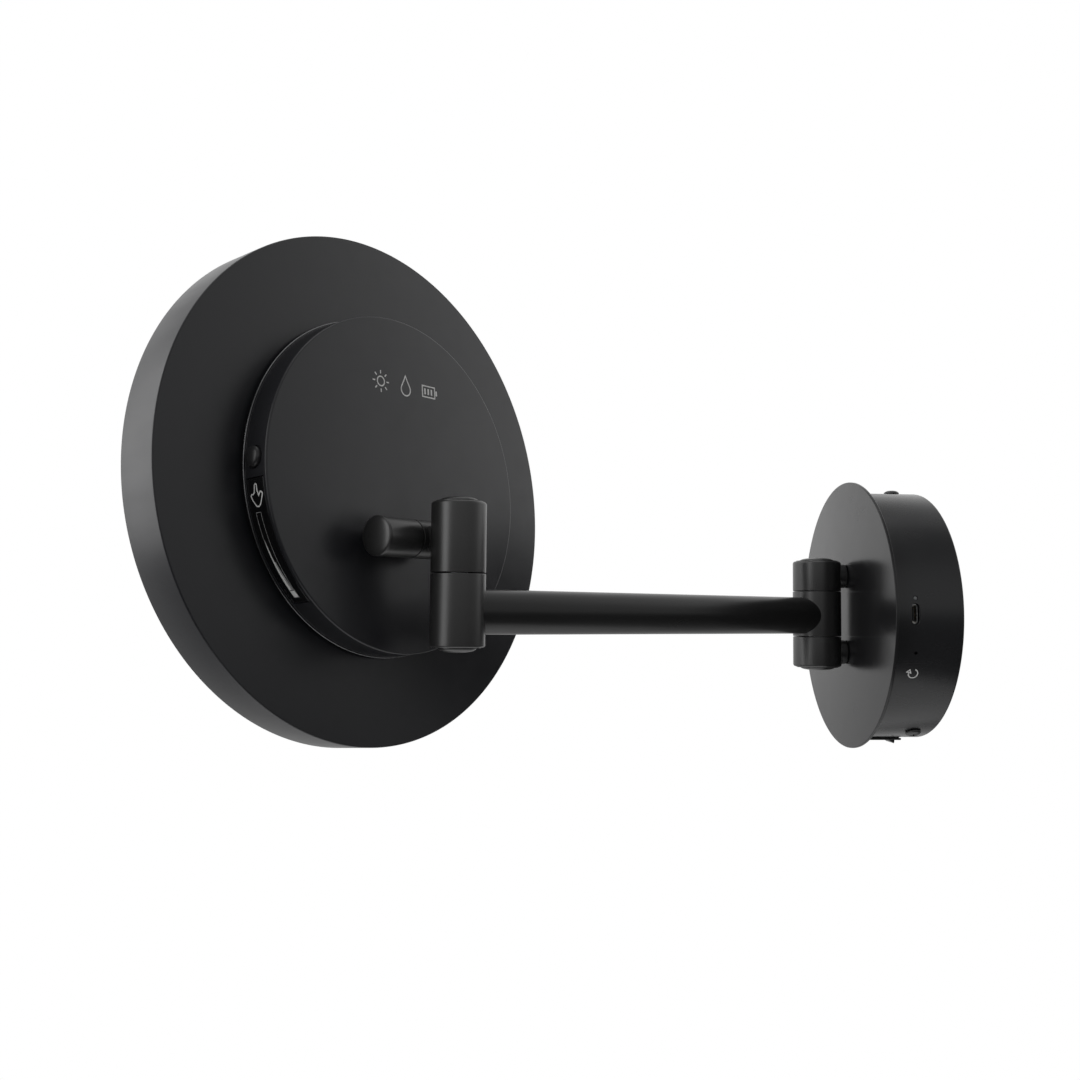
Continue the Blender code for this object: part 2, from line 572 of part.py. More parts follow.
def hub_housing(parent):
    edge, inner, foot = 0.9 * MM, HUB_RADIUS - HUB_WALL, HUB_RADIUS - 0.8 * MM
    lip = HUB_LIP_HEIGHT - 0.6 * MM
    outline = [(0, HUB_DEPTH), (HUB_RADIUS - edge, HUB_DEPTH), (HUB_RADIUS, HUB_DEPTH - edge),
               (HUB_RADIUS, HUB_LIP_HEIGHT), (HUB_LIP_RADIUS, HUB_LIP_HEIGHT - 0.2 * MM), (HUB_LIP_RADIUS, lip),
               (foot, lip), (foot, GAP), (inner, GAP), (inner, HUB_DEPTH - HUB_WALL), (0, HUB_DEPTH - HUB_WALL)]
    hub = face_wall(lathe("hub_housing", outline, BIG, parent, "black_coat"))
    window = arc_strip("strip_window", (62 * MM, 75 * MM), (STRIP_LOW, STRIP_HIGH),
                       (STRIP_START, STRIP_END), 12, parent)
    hole = rod("button_hole", BUTTON_RADIUS + GAP, 62 * MM, 75 * MM, 24, parent)
    screw = face_wall(rod("hub_screw_hole", SCREW_HOLE, 5 * MM, 20 * MM, SMALL, parent))
    at(screw, x=(TILT_SEAM + TILT_OUTER) / 2, z=-TILT_DROP)
    cut(hub, window, radial(hole, BUTTON_ANGLE, BUTTON_HEIGHT), screw)


def touch_parts(parent):
    side = math.degrees(GAP / HUB_RADIUS)
    arc_strip("touch_strip", (HUB_RADIUS - 1.5 * MM, HUB_RADIUS + 0.1 * MM),
              (STRIP_LOW + GAP, STRIP_HIGH - GAP), (STRIP_START - side, STRIP_END + side), 18,
              parent, "gloss_black")
    back = HUB_RADIUS - 1.5 * MM - GAP
    arc_strip("touch_board", (back - 0.8 * MM, back), (STRIP_LOW + 2 * GAP, STRIP_HIGH - 2 * GAP),
              (STRIP_START - 2 * side, STRIP_END + 2 * side), 18, parent, "board")


def light_button(parent):
    """Domed push button in the side of the hub, held in by its inner collar."""
    collar, seat = BUTTON_RADIUS + 1.0 * MM, HUB_RADIUS - HUB_WALL - 0.6 * MM
    outline = [(0, seat - 1.2 * MM), (collar, seat - 1.2 * MM), (collar, seat), (BUTTON_RADIUS, seat),
               (BUTTON_RADIUS, HUB_RADIUS + 0.7 * MM), (BUTTON_RADIUS * 0.92, HUB_RADIUS + 1.4 * MM),
               (BUTTON_RADIUS * 0.66, HUB_RADIUS + 2.0 * MM), (BUTTON_RADIUS * 0.3, HUB_RADIUS + 2.25 * MM),
               (0, HUB_RADIUS + 2.3 * MM)]
    button = lathe("light_button", outline, 24, parent, "black_plastic")
    radial(button, BUTTON_ANGLE, BUTTON_HEIGHT)
    top = seat - 1.2 * MM - 1.0 * MM
    switch = block("button_switch", (6 * MM, 6 * MM, 3.5 * MM), (0, 0, top - 1.75 * MM), parent, "black_plastic")
    radial(switch, BUTTON_ANGLE, BUTTON_HEIGHT)


def hub_internals(parent):
    plate_top = HUB_DEPTH - HUB_WALL - GAP
    middle = (TILT_SEAM + TILT_OUTER) / 2
    plate = block("hub_stiffener", (60 * MM, 2.0 * MM, 34 * MM), (middle / 2, plate_top - 1.0 * MM, -TILT_DROP),
                  parent, "steel")
    hole = face_wall(rod("stiffener_hole", SCREW_HOLE, 5 * MM, 20 * MM, SMALL, parent))
    cut(plate, at(hole, x=middle, z=-TILT_DROP))
    head = plate_top - 2.0 * MM - GAP
    outline = [(0, head - 2.2 * MM), (3.6 * MM, head - 2.2 * MM), (3.6 * MM, head), (SCREW_SHANK, head),
               (SCREW_SHANK, HUB_DEPTH + 6 * MM), (0, HUB_DEPTH + 6 * MM)]
    screw = face_wall(lathe("tilt_post_screw", outline, SMALL, parent, "steel"))
    at(screw, x=middle, z=-TILT_DROP)
    board = block("driver_board", (58 * MM, 1.6 * MM, 36 * MM), (0, 4.0 * MM, 24 * MM), parent, "board")
    for index, (x, z, wide, tall) in enumerate(((-16, 28, 14, 10), (8, 20, 9, 9), (20, 30, 7, 12))):
        chip = block(f"driver_chip_{index}", (wide * MM, 4 * MM, tall * MM), (x * MM, 6 * MM, z * MM), parent)
        join(board, chip)


def mirror_parts(parent):
    """Carrier, light ring and concave glass. Heights are negative towards the user."""
    seat, thick = -10.5 * MM, 1.5 * MM
    front = -RIM_DEPTH + 0.5 * MM
    wall_in, wall_out = MIRROR_RADIUS + GAP, LIGHT_RING_INNER - GAP
    outline = [(10 * MM, seat), (LIGHT_RING_OUTER, seat), (LIGHT_RING_OUTER, seat - thick),
               (wall_out, seat - thick), (wall_out, front), (wall_in, front), (wall_in, seat - thick),
               (10 * MM, seat - thick)]
    face_wall(lathe("mirror_carrier", outline, HIDDEN, parent, "black_plastic"))
    top = seat - thick - GAP
    outline = [(wall_out + GAP, top), (LIGHT_RING_OUTER - 1 * MM, top),
               (LIGHT_RING_OUTER - 1 * MM, top - 1.2 * MM), (wall_out + GAP, top - 1.2 * MM)]
    board = face_wall(lathe("led_ring_board", outline, HIDDEN, parent, "board"))
    for index in range(LED_COUNT):
        led = block(f"led_{index}", (3.5 * MM, 1.4 * MM, 2.8 * MM), (97 * MM, 0, 0), parent)
        led.rotation_euler = (0.0, 2 * math.pi * (index + 0.5) / LED_COUNT, 0.0)
        join(board, at(led, y=top - 1.3 * MM))
    outline = [(LIGHT_RING_INNER, front), (LIGHT_RING_OUTER, front), (LIGHT_RING_OUTER, front + 2.2 * MM),
               (LIGHT_RING_INNER, front + 2.2 * MM)]
    face_wall(lathe("light_ring", outline, HIDDEN, parent, "diffuser"))
    rings = 3
    face, back = [], []
    for ring in range(rings + 1):
        radius = MIRROR_RADIUS * ring / rings
        height = front + MIRROR_SAG * (1 - (ring / rings) ** 2)
        face.append((radius, height))
        back.append((radius, height + MIRROR_THICKNESS))
    face_wall(lathe("mirror_glass", face + back[::-1], HIDDEN, parent, "mirror"))
    for index, angle in enumerate((90, 210, 330), start=1):
        spacer = face_wall(rod(f"carrier_spacer_{index}", 4 * MM, seat + GAP, -SHELL_WALL - GAP, SMALL, parent, "nylon"))
        turn = math.radians(angle)
        at(spacer, x=82 * MM * math.cos(turn), z=82 * MM * math.sin(turn))


# ---------------------------------------------------------------- assembly

def main():
    remove_everything()
    wall_bracket()
    drum_housing()
    front_plate()
    housing_screws()
    battery()
    charge_electronics()
    power_switch()
    hinge_knuckle("hinge_knuckle_top", 1)
    hinge_knuckle("hinge_knuckle_bottom", -1)
    hinge_small_parts()

    arm = empty("arm_axis", None, (0, -HINGE_DEPTH, 0), (0, 0, math.radians(ARM_SWING)))
    arm_hinge_barrel(arm)
    arm_tube(arm)
    arm_swivel_barrel(arm)

    swivel = empty("swivel_axis", arm, (0, -ARM_LENGTH, 0), (0, 0, math.radians(HEAD_SWIVEL)))
    swivel_bracket(swivel)

    tilt = empty("tilt_axis", swivel, (0, -TILT_OFFSET, TILT_HEIGHT), (math.radians(HEAD_TILT), 0, 0))
    tilt_knuckle(tilt)
    head = empty("head_centre", tilt, (0, -TILT_STANDOFF - HUB_DEPTH, TILT_DROP))
    rear_shell(head)
    hub_housing(head)
    touch_parts(head)
    light_button(head)
    hub_internals(head)
    mirror_parts(head)


main()
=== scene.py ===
"""Looks of the extendable shaving mirror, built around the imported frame.

Metres, +Z up. The wall is the plane Y = 0 and the room is towards -Y. Sizes are read from the frame's
own nodes, in the local frame of the joint that each piece belongs to. Fine measures are in millimetres
times MM. Angles on a drum are counted from +X towards +Z.
"""

import json
from math import atan, atan2, cos, degrees, hypot, pi, radians, sin, tan

import bmesh
import bpy
from mathutils import Matrix, Vector


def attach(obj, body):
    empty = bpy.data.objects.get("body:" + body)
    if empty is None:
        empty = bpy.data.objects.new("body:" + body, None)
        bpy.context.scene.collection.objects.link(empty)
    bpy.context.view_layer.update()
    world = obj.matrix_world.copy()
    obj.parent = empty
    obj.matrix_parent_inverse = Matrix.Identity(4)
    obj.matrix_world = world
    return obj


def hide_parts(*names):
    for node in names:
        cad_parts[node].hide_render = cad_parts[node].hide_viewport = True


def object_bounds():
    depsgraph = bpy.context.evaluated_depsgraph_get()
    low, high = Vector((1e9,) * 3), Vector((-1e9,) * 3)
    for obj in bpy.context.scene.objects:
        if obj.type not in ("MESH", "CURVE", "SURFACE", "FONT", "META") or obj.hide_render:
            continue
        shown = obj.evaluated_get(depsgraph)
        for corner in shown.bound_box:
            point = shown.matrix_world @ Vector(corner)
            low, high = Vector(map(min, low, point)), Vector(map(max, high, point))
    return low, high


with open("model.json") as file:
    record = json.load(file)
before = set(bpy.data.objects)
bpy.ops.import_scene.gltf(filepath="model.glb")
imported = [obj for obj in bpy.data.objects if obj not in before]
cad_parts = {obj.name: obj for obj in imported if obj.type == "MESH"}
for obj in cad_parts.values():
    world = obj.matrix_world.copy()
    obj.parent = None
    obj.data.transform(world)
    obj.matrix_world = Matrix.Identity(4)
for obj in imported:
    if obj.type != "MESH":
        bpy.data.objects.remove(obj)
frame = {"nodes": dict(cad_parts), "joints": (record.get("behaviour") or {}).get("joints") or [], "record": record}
cad_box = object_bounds()
scene = bpy.context.scene

MM = 0.001
LARGE = 256             # segments of the drums, the hub and the head
ROUND = 128             # segments of the barrels, caps and the tube
FINE = 48               # segments of screws, lenses and holes
HEAD_TILT = 4.7         # back of the head turned up, in degrees
STRIP_ANGLES = (-2.6, -44.6)
SHOULDER = 1.2 * MM     # rounding of a barrel's shoulder
CROWN = 0.74            # crown's radius as a share of its barrel's
SCREW_HOLE = 2.3 * MM   # radii of holes
PIN_BORE = 4.3 * MM
TILT_BORE = 3.3 * MM
CABLE_WAY = 2.6 * MM
WASHER_SEAT = 0.9 * MM  # depth of the recess under a washer
INK_GAP = 0.002 * MM    # between a sign and the surface under it
INK_THICK = 0.035 * MM
ON_AXIS = 1e-6          # a radius under this is a pole
LEVEL = 1e-7            # heights this close are the same

# Camera: lens on a 36 mm sensor, place, and angles in degrees
LENS = 37.0
CAMERA_PLACE = (556.3 * MM, -231.0 * MM, -1.4 * MM)
CAMERA_AZIMUTH = 85.93
CAMERA_PITCH = 3.78
CAMERA_ROLL = 0.57
FRAME_SHIFT = 0.0005      # share of the picture's width

# Soft light by direction, as stops of (share of the direction, strength)
BACKDROP = (-0.97, -0.25, 0.05)
BEYOND_ACROSS = ((-0.05, 0.0), (0.25, 0.5), (0.55, 1.0))
BEYOND_UP = ((-0.9, 0.16), (-0.45, 0.55), (-0.18, 0.62), (0.14, 1.0), (0.9, 0.60))
SKY_ACROSS = ((-0.08, 1.0), (0.14, 0.46), (0.5, 0.42), (0.95, 0.52))
SKY_UP = ((-0.10, 0.16), (0.12, 1.0), (0.5, 0.95), (0.9, 0.5))

WALL = Matrix.Identity(4)


# -------- local frames of the joints

def shift(x=0.0, y=0.0, z=0.0):
    return Matrix.Translation((x, y, z))


def rotate(axis, angle):
    return Matrix.Rotation(radians(angle), 4, axis)


FACE_ROOM = rotate("X", 90)     # local +Z towards the room
FACE_WALL = rotate("X", -90)    # local +Z towards the wall or the head's back
ALONG_X = rotate("Y", 90)       # local +Z along +X


def local_points(node, place=WALL):
    inverse = place.inverted()
    return [inverse @ vertex.co for vertex in frame["nodes"][node].data.vertices]


def local_box(node, place=WALL):
    points = local_points(node, place)
    low = Vector([min(point[axis] for point in points) for axis in range(3)])
    high = Vector([max(point[axis] for point in points) for axis in range(3)])
    return low, high


def middle_of(node, place=WALL):
    low, high = local_box(node, place)
    return (low + high) / 2


def radius_about_z(node, place):
    return max(hypot(point.x, point.y) for point in local_points(node, place))


def radius_about_y(node, place=WALL):
    return max(hypot(point.x, point.z) for point in local_points(node, place))


JOINTS = {joint["name"]: joint for joint in frame["joints"]}
HINGE_AT = Vector(JOINTS["arm_swing"]["pos_m"])
SWIVEL_AT = Vector(JOINTS["head_swivel"]["pos_m"])
TILT_AT = Vector(JOINTS["head_tilt"]["pos_m"])
TILT_AXIS = Vector(JOINTS["head_tilt"]["axis"])
REACH = SWIVEL_AT - HINGE_AT
ARM_LENGTH = REACH.length
HEAD_TURN = Matrix.Rotation(atan2(TILT_AXIS.y, TILT_AXIS.x), 4, "Z")

HINGE = Matrix.Translation(HINGE_AT)
ARM = HINGE @ Matrix.Rotation(atan2(REACH.x, -REACH.y), 4, "Z")
ARM_END = ARM @ shift(y=-ARM_LENGTH)
SWIVEL = Matrix.Translation(SWIVEL_AT) @ HEAD_TURN
TILT_STUB = Matrix.Translation(TILT_AT) @ HEAD_TURN
TILT = TILT_STUB @ rotate("X", HEAD_TILT)


def head_frame():
    """Origin in the middle of the shell's flat back, +Y out of the back."""
    low, high = local_box("rear_shell", TILT)
    return TILT @ shift((low.x + high.x) / 2, high.y, (low.z + high.z) / 2)


HEAD = head_frame()


def radial(angle, depth, place=WALL):
    """Local +Z points out of a drum about Y, and local Y stays along the drum's axis."""
    return place @ shift(y=depth) @ rotate("Y", 90 - angle)


def radial_of(node, place=WALL):
    """The radial frame that a small node of a drum stands in."""
    points = local_points(node, place)
    middle = sum(points, Vector()) / len(points)
    return radial(degrees(atan2(middle.z, middle.x)), middle.y, place)


# -------- materials

def arithmetic(tree, operation, first, second):
    """Arithmetic on two sockets of a node tree."""
    node = tree.nodes.new("ShaderNodeMath")
    node.operation = operation
    tree.links.new(first, node.inputs[0])
    tree.links.new(second, node.inputs[1])
    return node.outputs["Value"]


class Shader:
    """Builds one node material around a Principled BSDF."""

    def __init__(self, name, color, roughness, metallic=0.0):
        self.material = bpy.data.materials.new(name)
        self.material.use_nodes = True
        self.tree = self.material.node_tree
        self.nodes, self.links = self.tree.nodes, self.tree.links
        self.bsdf = self.nodes["Principled BSDF"]
        self.socket("Base Color", (*color, 1.0))
        self.socket("Roughness", roughness)
        self.socket("Metallic", metallic)
        self.place = self.nodes.new("ShaderNodeTexCoord").outputs["Object"]

    def socket(self, name, value):
        self.bsdf.inputs[name].default_value = value

    def set(self, name, value):
        self.links.new(value, self.bsdf.inputs[name])

    def noise(self, scale, detail, stretch=None):
        """Noise over the piece. scale is in cycles per metre, stretch is a scale per axis."""
        place = self.place
        if stretch:
            mapping = self.nodes.new("ShaderNodeMapping")
            mapping.inputs["Scale"].default_value = stretch
            self.links.new(place, mapping.inputs["Vector"])
            place = mapping.outputs["Vector"]
        node = self.nodes.new("ShaderNodeTexNoise")
        node.inputs["Scale"].default_value = scale
        node.inputs["Detail"].default_value = detail
        self.links.new(place, node.inputs["Vector"])
        return node.outputs["Fac"]

    def spread(self, value, low, high):
        """Maps the middle of a noise's range to low..high."""
        node = self.nodes.new("ShaderNodeMapRange")
        node.inputs["From Min"].default_value, node.inputs["From Max"].default_value = 0.3, 0.7
        node.inputs["To Min"].default_value, node.inputs["To Max"].default_value = low, high
        self.links.new(value, node.inputs["Value"])
        return node.outputs["Result"]

    def tint(self, value, first, second):
        """The base colour lies between two, by a noise."""
        node = self.nodes.new("ShaderNodeMix")
        node.data_type = "RGBA"
        node.inputs["A"].default_value = (*first, 1.0)
        node.inputs["B"].default_value = (*second, 1.0)
        self.links.new(self.spread(value, 0.0, 1.0), node.inputs["Factor"])
        self.set("Base Color", node.outputs["Result"])

    def bump(self, height, strength, distance):
        node = self.nodes.new("ShaderNodeBump")
        node.inputs["Strength"].default_value = strength
        node.inputs["Distance"].default_value = distance
        self.links.new(height, node.inputs["Height"])
        self.set("Normal", node.outputs["Normal"])


def lacquer(name, dark, light, roughness, grain=2600.0, strength=0.10, gloss=0.5):
    """Sprayed satin black: fine orange peel, faint clouding and handling marks in the gloss."""
    shader = Shader(name, dark, roughness)
    shader.socket("Specular IOR Level", gloss)
    cloud = shader.noise(14.0, 3.0)
    smudge = shader.noise(120.0, 4.0, (1.0, 1.0, 0.35))
    shader.tint(cloud, dark, light)
    broad = shader.spread(cloud, -0.025, 0.025)
    fine = shader.spread(smudge, roughness - 0.02, roughness + 0.03)
    shader.set("Roughness", arithmetic(shader.tree, "ADD", broad, fine))
    shader.bump(shader.noise(grain, 3.0), strength, 0.02 * MM)
    return shader.material


def moulded(name, dark, light, roughness, grain=1800.0, strength=0.25):
    """Moulded plastic with a fine spark-eroded texture."""
    shader = Shader(name, dark, roughness)
    speck = shader.noise(grain, 4.0)
    shader.tint(speck, dark, light)
    shader.set("Roughness", shader.spread(shader.noise(60.0, 3.0), roughness - 0.04, roughness + 0.05))
    shader.bump(speck, strength, 0.03 * MM)
    return shader.material


def bare_metal(name, dark, light, roughness):
    """Plated or drawn metal with fine lines across its length."""
    shader = Shader(name, dark, roughness, 1.0)
    lines = shader.noise(700.0, 3.0, (1.0, 1.0, 18.0))
    shader.tint(shader.noise(45.0, 3.0), dark, light)
    shader.set("Roughness", shader.spread(lines, roughness - 0.06, roughness + 0.08))
    shader.bump(lines, 0.12, 0.02 * MM)
    return shader.material


def frosted(name, dark, light, roughness):
    """Translucent white plastic, slightly milky under its surface."""
    shader = Shader(name, light, roughness)
    shader.socket("Subsurface Weight", 0.35)
    shader.socket("Subsurface Radius", (1.5 * MM, 1.5 * MM, 1.4 * MM))
    shader.tint(shader.noise(35.0, 3.0), dark, light)
    shader.set("Roughness", shader.spread(shader.noise(900.0, 3.0), roughness - 0.05, roughness + 0.06))
    shader.bump(shader.noise(2400.0, 2.0), 0.08, 0.02 * MM)
    return shader.material


def silvered(name):
    """Polished mirror: a trace of cleaning marks in its gloss."""
    shader = Shader(name, (0.93, 0.94, 0.945), 0.02, 1.0)
    marks = shader.noise(22.0, 5.0, (1.0, 0.3, 1.0))
    shader.tint(marks, (0.92, 0.93, 0.94), (0.95, 0.955, 0.955))
    shader.set("Roughness", shader.spread(marks, 0.012, 0.035))
    shader.bump(shader.noise(8.0, 1.0), 0.01, 0.01 * MM)
    return shader.material


def printed(name, dark, light):
    """Screen-printed ink, a little uneven."""
    shader = Shader(name, light, 0.5)
    cover = shader.noise(1400.0, 4.0)
    shader.tint(cover, dark, light)
    shader.set("Roughness", shader.spread(cover, 0.42, 0.58))
    shader.bump(cover, 0.1, 0.01 * MM)
    return shader.material


COAT = lacquer("satin_black_coat", (0.0105, 0.0108, 0.0122), (0.0140, 0.0144, 0.0160), 0.25,
               strength=0.05)
PLATE_COAT = lacquer("satin_black_plate", (0.0105, 0.0105, 0.0112), (0.0140, 0.0140, 0.0150), 0.23,
                     strength=0.05, gloss=0.42)
HEAD_COAT = lacquer("satin_black_head", (0.0110, 0.0114, 0.0138), (0.0145, 0.0150, 0.0178), 0.33,
                    strength=0.05, gloss=0.52)
BARREL_COAT = lacquer("satin_black_barrels", (0.0120, 0.0120, 0.0122), (0.0160, 0.0160, 0.0162), 0.35,
                      gloss=0.85)
TUBE_COAT = lacquer("satin_black_tube", (0.0105, 0.0105, 0.0106), (0.0140, 0.0140, 0.0142), 0.30,
                    gloss=0.42)
STRIP = lacquer("gloss_black_strip", (0.004, 0.004, 0.0045), (0.006, 0.006, 0.0065), 0.13, 1200.0, 0.04)
BUTTON = moulded("button_plastic", (0.012, 0.012, 0.013), (0.017, 0.017, 0.018), 0.34, 2200.0, 0.12)
PLASTIC = moulded("black_plastic", (0.012, 0.012, 0.0125), (0.018, 0.018, 0.019), 0.46)
ROCKER = moulded("rocker_plastic", (0.010, 0.010, 0.0105), (0.014, 0.014, 0.0145), 0.28, 2400.0, 0.10)
STEEL = bare_metal("plain_steel", (0.50, 0.51, 0.53), (0.60, 0.61, 0.62), 0.30)
NICKEL = bare_metal("nickel_plate", (0.78, 0.78, 0.77), (0.86, 0.86, 0.85), 0.26)
POLISHED_EDGE = bare_metal("polished_edge", (0.14, 0.14, 0.145), (0.19, 0.19, 0.195), 0.24)
GOLD = bare_metal("gold_contacts", (0.72, 0.50, 0.18), (0.80, 0.58, 0.24), 0.22)
NYLON = moulded("black_nylon", (0.006, 0.006, 0.006), (0.009, 0.009, 0.009), 0.55, 1500.0, 0.1)
DIFFUSER = frosted("frosted_diffuser", (0.82, 0.82, 0.80), (0.88, 0.88, 0.87), 0.42)
LENS_GREY = frosted("indicator_lens", (0.15, 0.155, 0.16), (0.20, 0.205, 0.21), 0.25)
BOARD = moulded("circuit_board", (0.012, 0.11, 0.045), (0.02, 0.16, 0.07), 0.38, 900.0, 0.2)
CELL = moulded("cell_sleeve", (0.07, 0.17, 0.36), (0.10, 0.22, 0.44), 0.34, 400.0, 0.1)
MIRROR = silvered("silvered_glass")
INK = printed("white_print", (0.70, 0.70, 0.69), (0.84, 0.84, 0.83))
GREY_INK = printed("grey_print", (0.28, 0.28, 0.28), (0.36, 0.36, 0.36))
BY_SLOT = {
    "black_coat": COAT, "black_plastic": PLASTIC, "gloss_black": STRIP, "steel": STEEL, "nylon": NYLON,
    "board": BOARD, "cell": CELL, "diffuser": DIFFUSER, "mirror": MIRROR,
}


def paint_nodes():
    """Every CAD node gets the procedural finish of its slot."""
    for entry in frame["record"]["subparts"]:
        node = frame["nodes"][entry["node"]]
        node.data.materials.clear()
        node.data.materials.append(BY_SLOT[entry["material_slot"]])


# -------- mesh helpers

def circle(radius, height, segments):
    """One ring of a turned piece, or its pole."""
    if radius < ON_AXIS:
        return [(0.0, 0.0, height)]
    turns = [2 * pi * step / segments for step in range(segments)]
    return [(radius * cos(turn), radius * sin(turn), height) for turn in turns]


def rounded_rectangle(width, height, radius, steps=10):
    """One ring with round corners; a slot when radius is half the height."""
    ring = []
    for side_x, side_y, start in ((1, 1, 0), (-1, 1, 90), (-1, -1, 180), (1, -1, 270)):
        for step in range(steps + 1):
            turn = radians(start + 90 * step / steps)
            ring.append((side_x * (width / 2 - radius) + radius * cos(turn),
                         side_y * (height / 2 - radius) + radius * sin(turn)))
    return ring


def fillet(points, steps=6):
    """Rounds the corners of an outline. A point is (radius, height) or (radius, height, corner radius)."""
    out = []
    for index, point in enumerate(points):
        if len(point) == 2:
            out.append(point)
            continue
        here = Vector(point[:2])
        before = Vector(points[index - 1][:2]) - here
        after = Vector(points[(index + 1) % len(points)][:2]) - here
        half = before.angle(after) / 2
        before.normalize()
        after.normalize()
        reach = point[2] / tan(half)
        start, end = here + before * reach, here + after * reach
        centre = here + (before + after).normalized() * point[2] / sin(half)
        for step in range(steps + 1):
            spoke = (start - centre).lerp(end - centre, step / steps).normalized() * point[2]
            out.append(tuple(centre + spoke))
    return out


def crown_points(radius, base, tip, power, steps=16):
    """The curve of a crown, from just over its foot to its pole. A power under 1 makes it fuller."""
    turns = [radians(90 * step / steps) for step in range(1, steps)]
    curve = [(radius * cos(turn) ** power, base + (tip - base) * sin(turn)) for turn in turns]
    return curve + [(0.0, tip)]


def skin(name, rings, solid=True):
    """Joins rings of points into a closed mesh. A ring of one point is a pole."""
    bm = bmesh.new()
    rows = [[bm.verts.new(point) for point in ring] for ring in rings]
    pairs = list(zip(rows, rows[1:]))
    if not solid:
        pairs.append((rows[-1], rows[0]))
    for end in (rows[0], rows[-1]):
        if solid and len(end) > 1:
            bm.faces.new(end)
    for first, second in pairs:
        count = max(len(first), len(second))
        for step in range(count):
            after = (step + 1) % count
            corners = [first[step % len(first)], first[after % len(first)],
                       second[after % len(second)], second[step % len(second)]]
            unique = list(dict.fromkeys(corners))
            if len(unique) > 2:
                bm.faces.new(unique)
    return closed(name, bm)


def closed(name, bm):
    """An object from a mesh, with its faces pointing out."""
    bmesh.ops.recalc_face_normals(bm, faces=bm.faces)
    if bm.calc_volume(signed=True) < 0:
        bmesh.ops.reverse_faces(bm, faces=bm.faces)
    return linked(name, bm)


def linked(name, bm):
    mesh = bpy.data.meshes.new(name)
    bm.to_mesh(mesh)
    bm.free()
    obj = bpy.data.objects.new(name, mesh)
    scene.collection.objects.link(obj)
    return obj


def turned(name, outline, place=WALL, segments=ROUND, side=1):
    """A body of revolution about local Z. An outline that starts on the axis is a solid, others are rings.

    A side of -1 turns it upside down. An end on the axis, level with its neighbour, is left out.
    """
    rings = []
    for index, (radius, height) in enumerate(outline):
        neighbour = outline[1] if index == 0 else outline[index - 1]
        if radius > ON_AXIS or abs(height - neighbour[1]) > LEVEL:
            rings.append(circle(radius, side * height, segments))
    obj = skin(name, rings, outline[0][0] < ON_AXIS)
    obj.matrix_world = place
    return obj


def rod(name, radius, low, high, place=WALL, segments=FINE):
    return turned(name, [(0, low), (radius, low), (radius, high), (0, high)], place, segments)


def slab(name, width, height, radius, levels, place=WALL):
    """A body with a rounded rectangle as its section. levels are (inset, local Z)."""
    rings = []
    for inset, level in levels:
        corner = max(radius - inset, 0.05 * MM)
        ring = rounded_rectangle(width - 2 * inset, height - 2 * inset, corner)
        rings.append([(x, y, level) for x, y in ring])
    obj = skin(name, rings)
    obj.matrix_world = place
    return obj


def combine(obj, operation, tools):
    """Applies one Boolean step for each tool and removes the tools."""
    for tool in tools:
        modifier = obj.modifiers.new(operation.lower(), "BOOLEAN")
        modifier.object = tool
        modifier.operation = operation
        modifier.solver = "EXACT"
    apply_modifiers(obj)
    for tool in tools:
        bpy.data.objects.remove(tool)
    return obj


def cut(obj, *tools):
    return combine(obj, "DIFFERENCE", tools)


def join(obj, *tools):
    return combine(obj, "UNION", tools)


def apply_modifiers(obj):
    bpy.context.view_layer.update()
    depsgraph = bpy.context.evaluated_depsgraph_get()
    mesh = bpy.data.meshes.new_from_object(obj.evaluated_get(depsgraph))
    obj.modifiers.clear()
    obj.data = mesh
    mesh.name = obj.name


def round_edges(obj, width):
    """Rounds every sharp edge of a piece."""
    modifier = obj.modifiers.new("round", "BEVEL")
    modifier.width = width
    modifier.segments = 3
    modifier.limit_method = "ANGLE"
    modifier.angle_limit = radians(35)
    apply_modifiers(obj)


def dress(obj, body, material, slot, *nodes):
    """Shades a piece, gives it its finish and hangs it on its body."""
    obj.data.shade_smooth()
    obj.data.set_sharp_from_angle(angle=radians(31))
    obj.data.materials.clear()
    obj.data.materials.append(material)
    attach(obj, body)
    if nodes:
        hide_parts(*nodes)


# -------- wall unit

def drum_casing():
    low, high = local_box("drum_housing")
    outer, back, front = radius_about_y("drum_housing"), -high.y, -low.y
    wall, mouth, back_edge, front_edge = 1.6 * MM, 50 * MM, 0.9 * MM, 0.25 * MM
    outline = fillet([(outer, back, back_edge), (outer, front, front_edge), (mouth, front),
                      (mouth, front - wall), (outer - wall, front - wall, 1.0 * MM),
                      (outer - wall, back, 0.2 * MM)])
    drum = turned("drum_casing", outline, FACE_ROOM, LARGE)

    inside, outside = 0.9 * outer, 1.1 * outer
    inlet = radial_of("usb_c_socket")
    wide, tall, lead_in = 9.54 * MM, 3.86 * MM, 0.1 * MM
    lens, pin = 1.05 * MM, 0.75 * MM
    tools = [
        slab("inlet_slot", wide, tall, tall / 2, [(0, inside), (0, outside)], inlet),
        slab("inlet_lead_in", wide + 2 * lead_in, tall + 2 * lead_in, tall / 2 + lead_in,
             [(2 * lead_in, outer - 2.2 * lead_in), (0, outer + lead_in), (0, outside)], inlet),
        rod("lens_hole", lens, inside, outside, radial_of("charge_light")),
        rod("pin_hole", pin, inside, outside, radial_of("reset_plunger")),
        slab("rocker_hole", 13.8 * MM, 19.8 * MM, 0.4 * MM, [(0, 0.8 * outer), (0, outside)],
             radial_of("power_switch_body")),
    ]
    for label in ("top", "near", "far"):
        place = radial_of(f"housing_screw_{label}")
        tools.append(rod("screw_hole", SCREW_HOLE, 0.95 * outer, outside, place))
    dress(cut(drum, *tools), "wall_unit", COAT, "black_coat", "drum_housing")


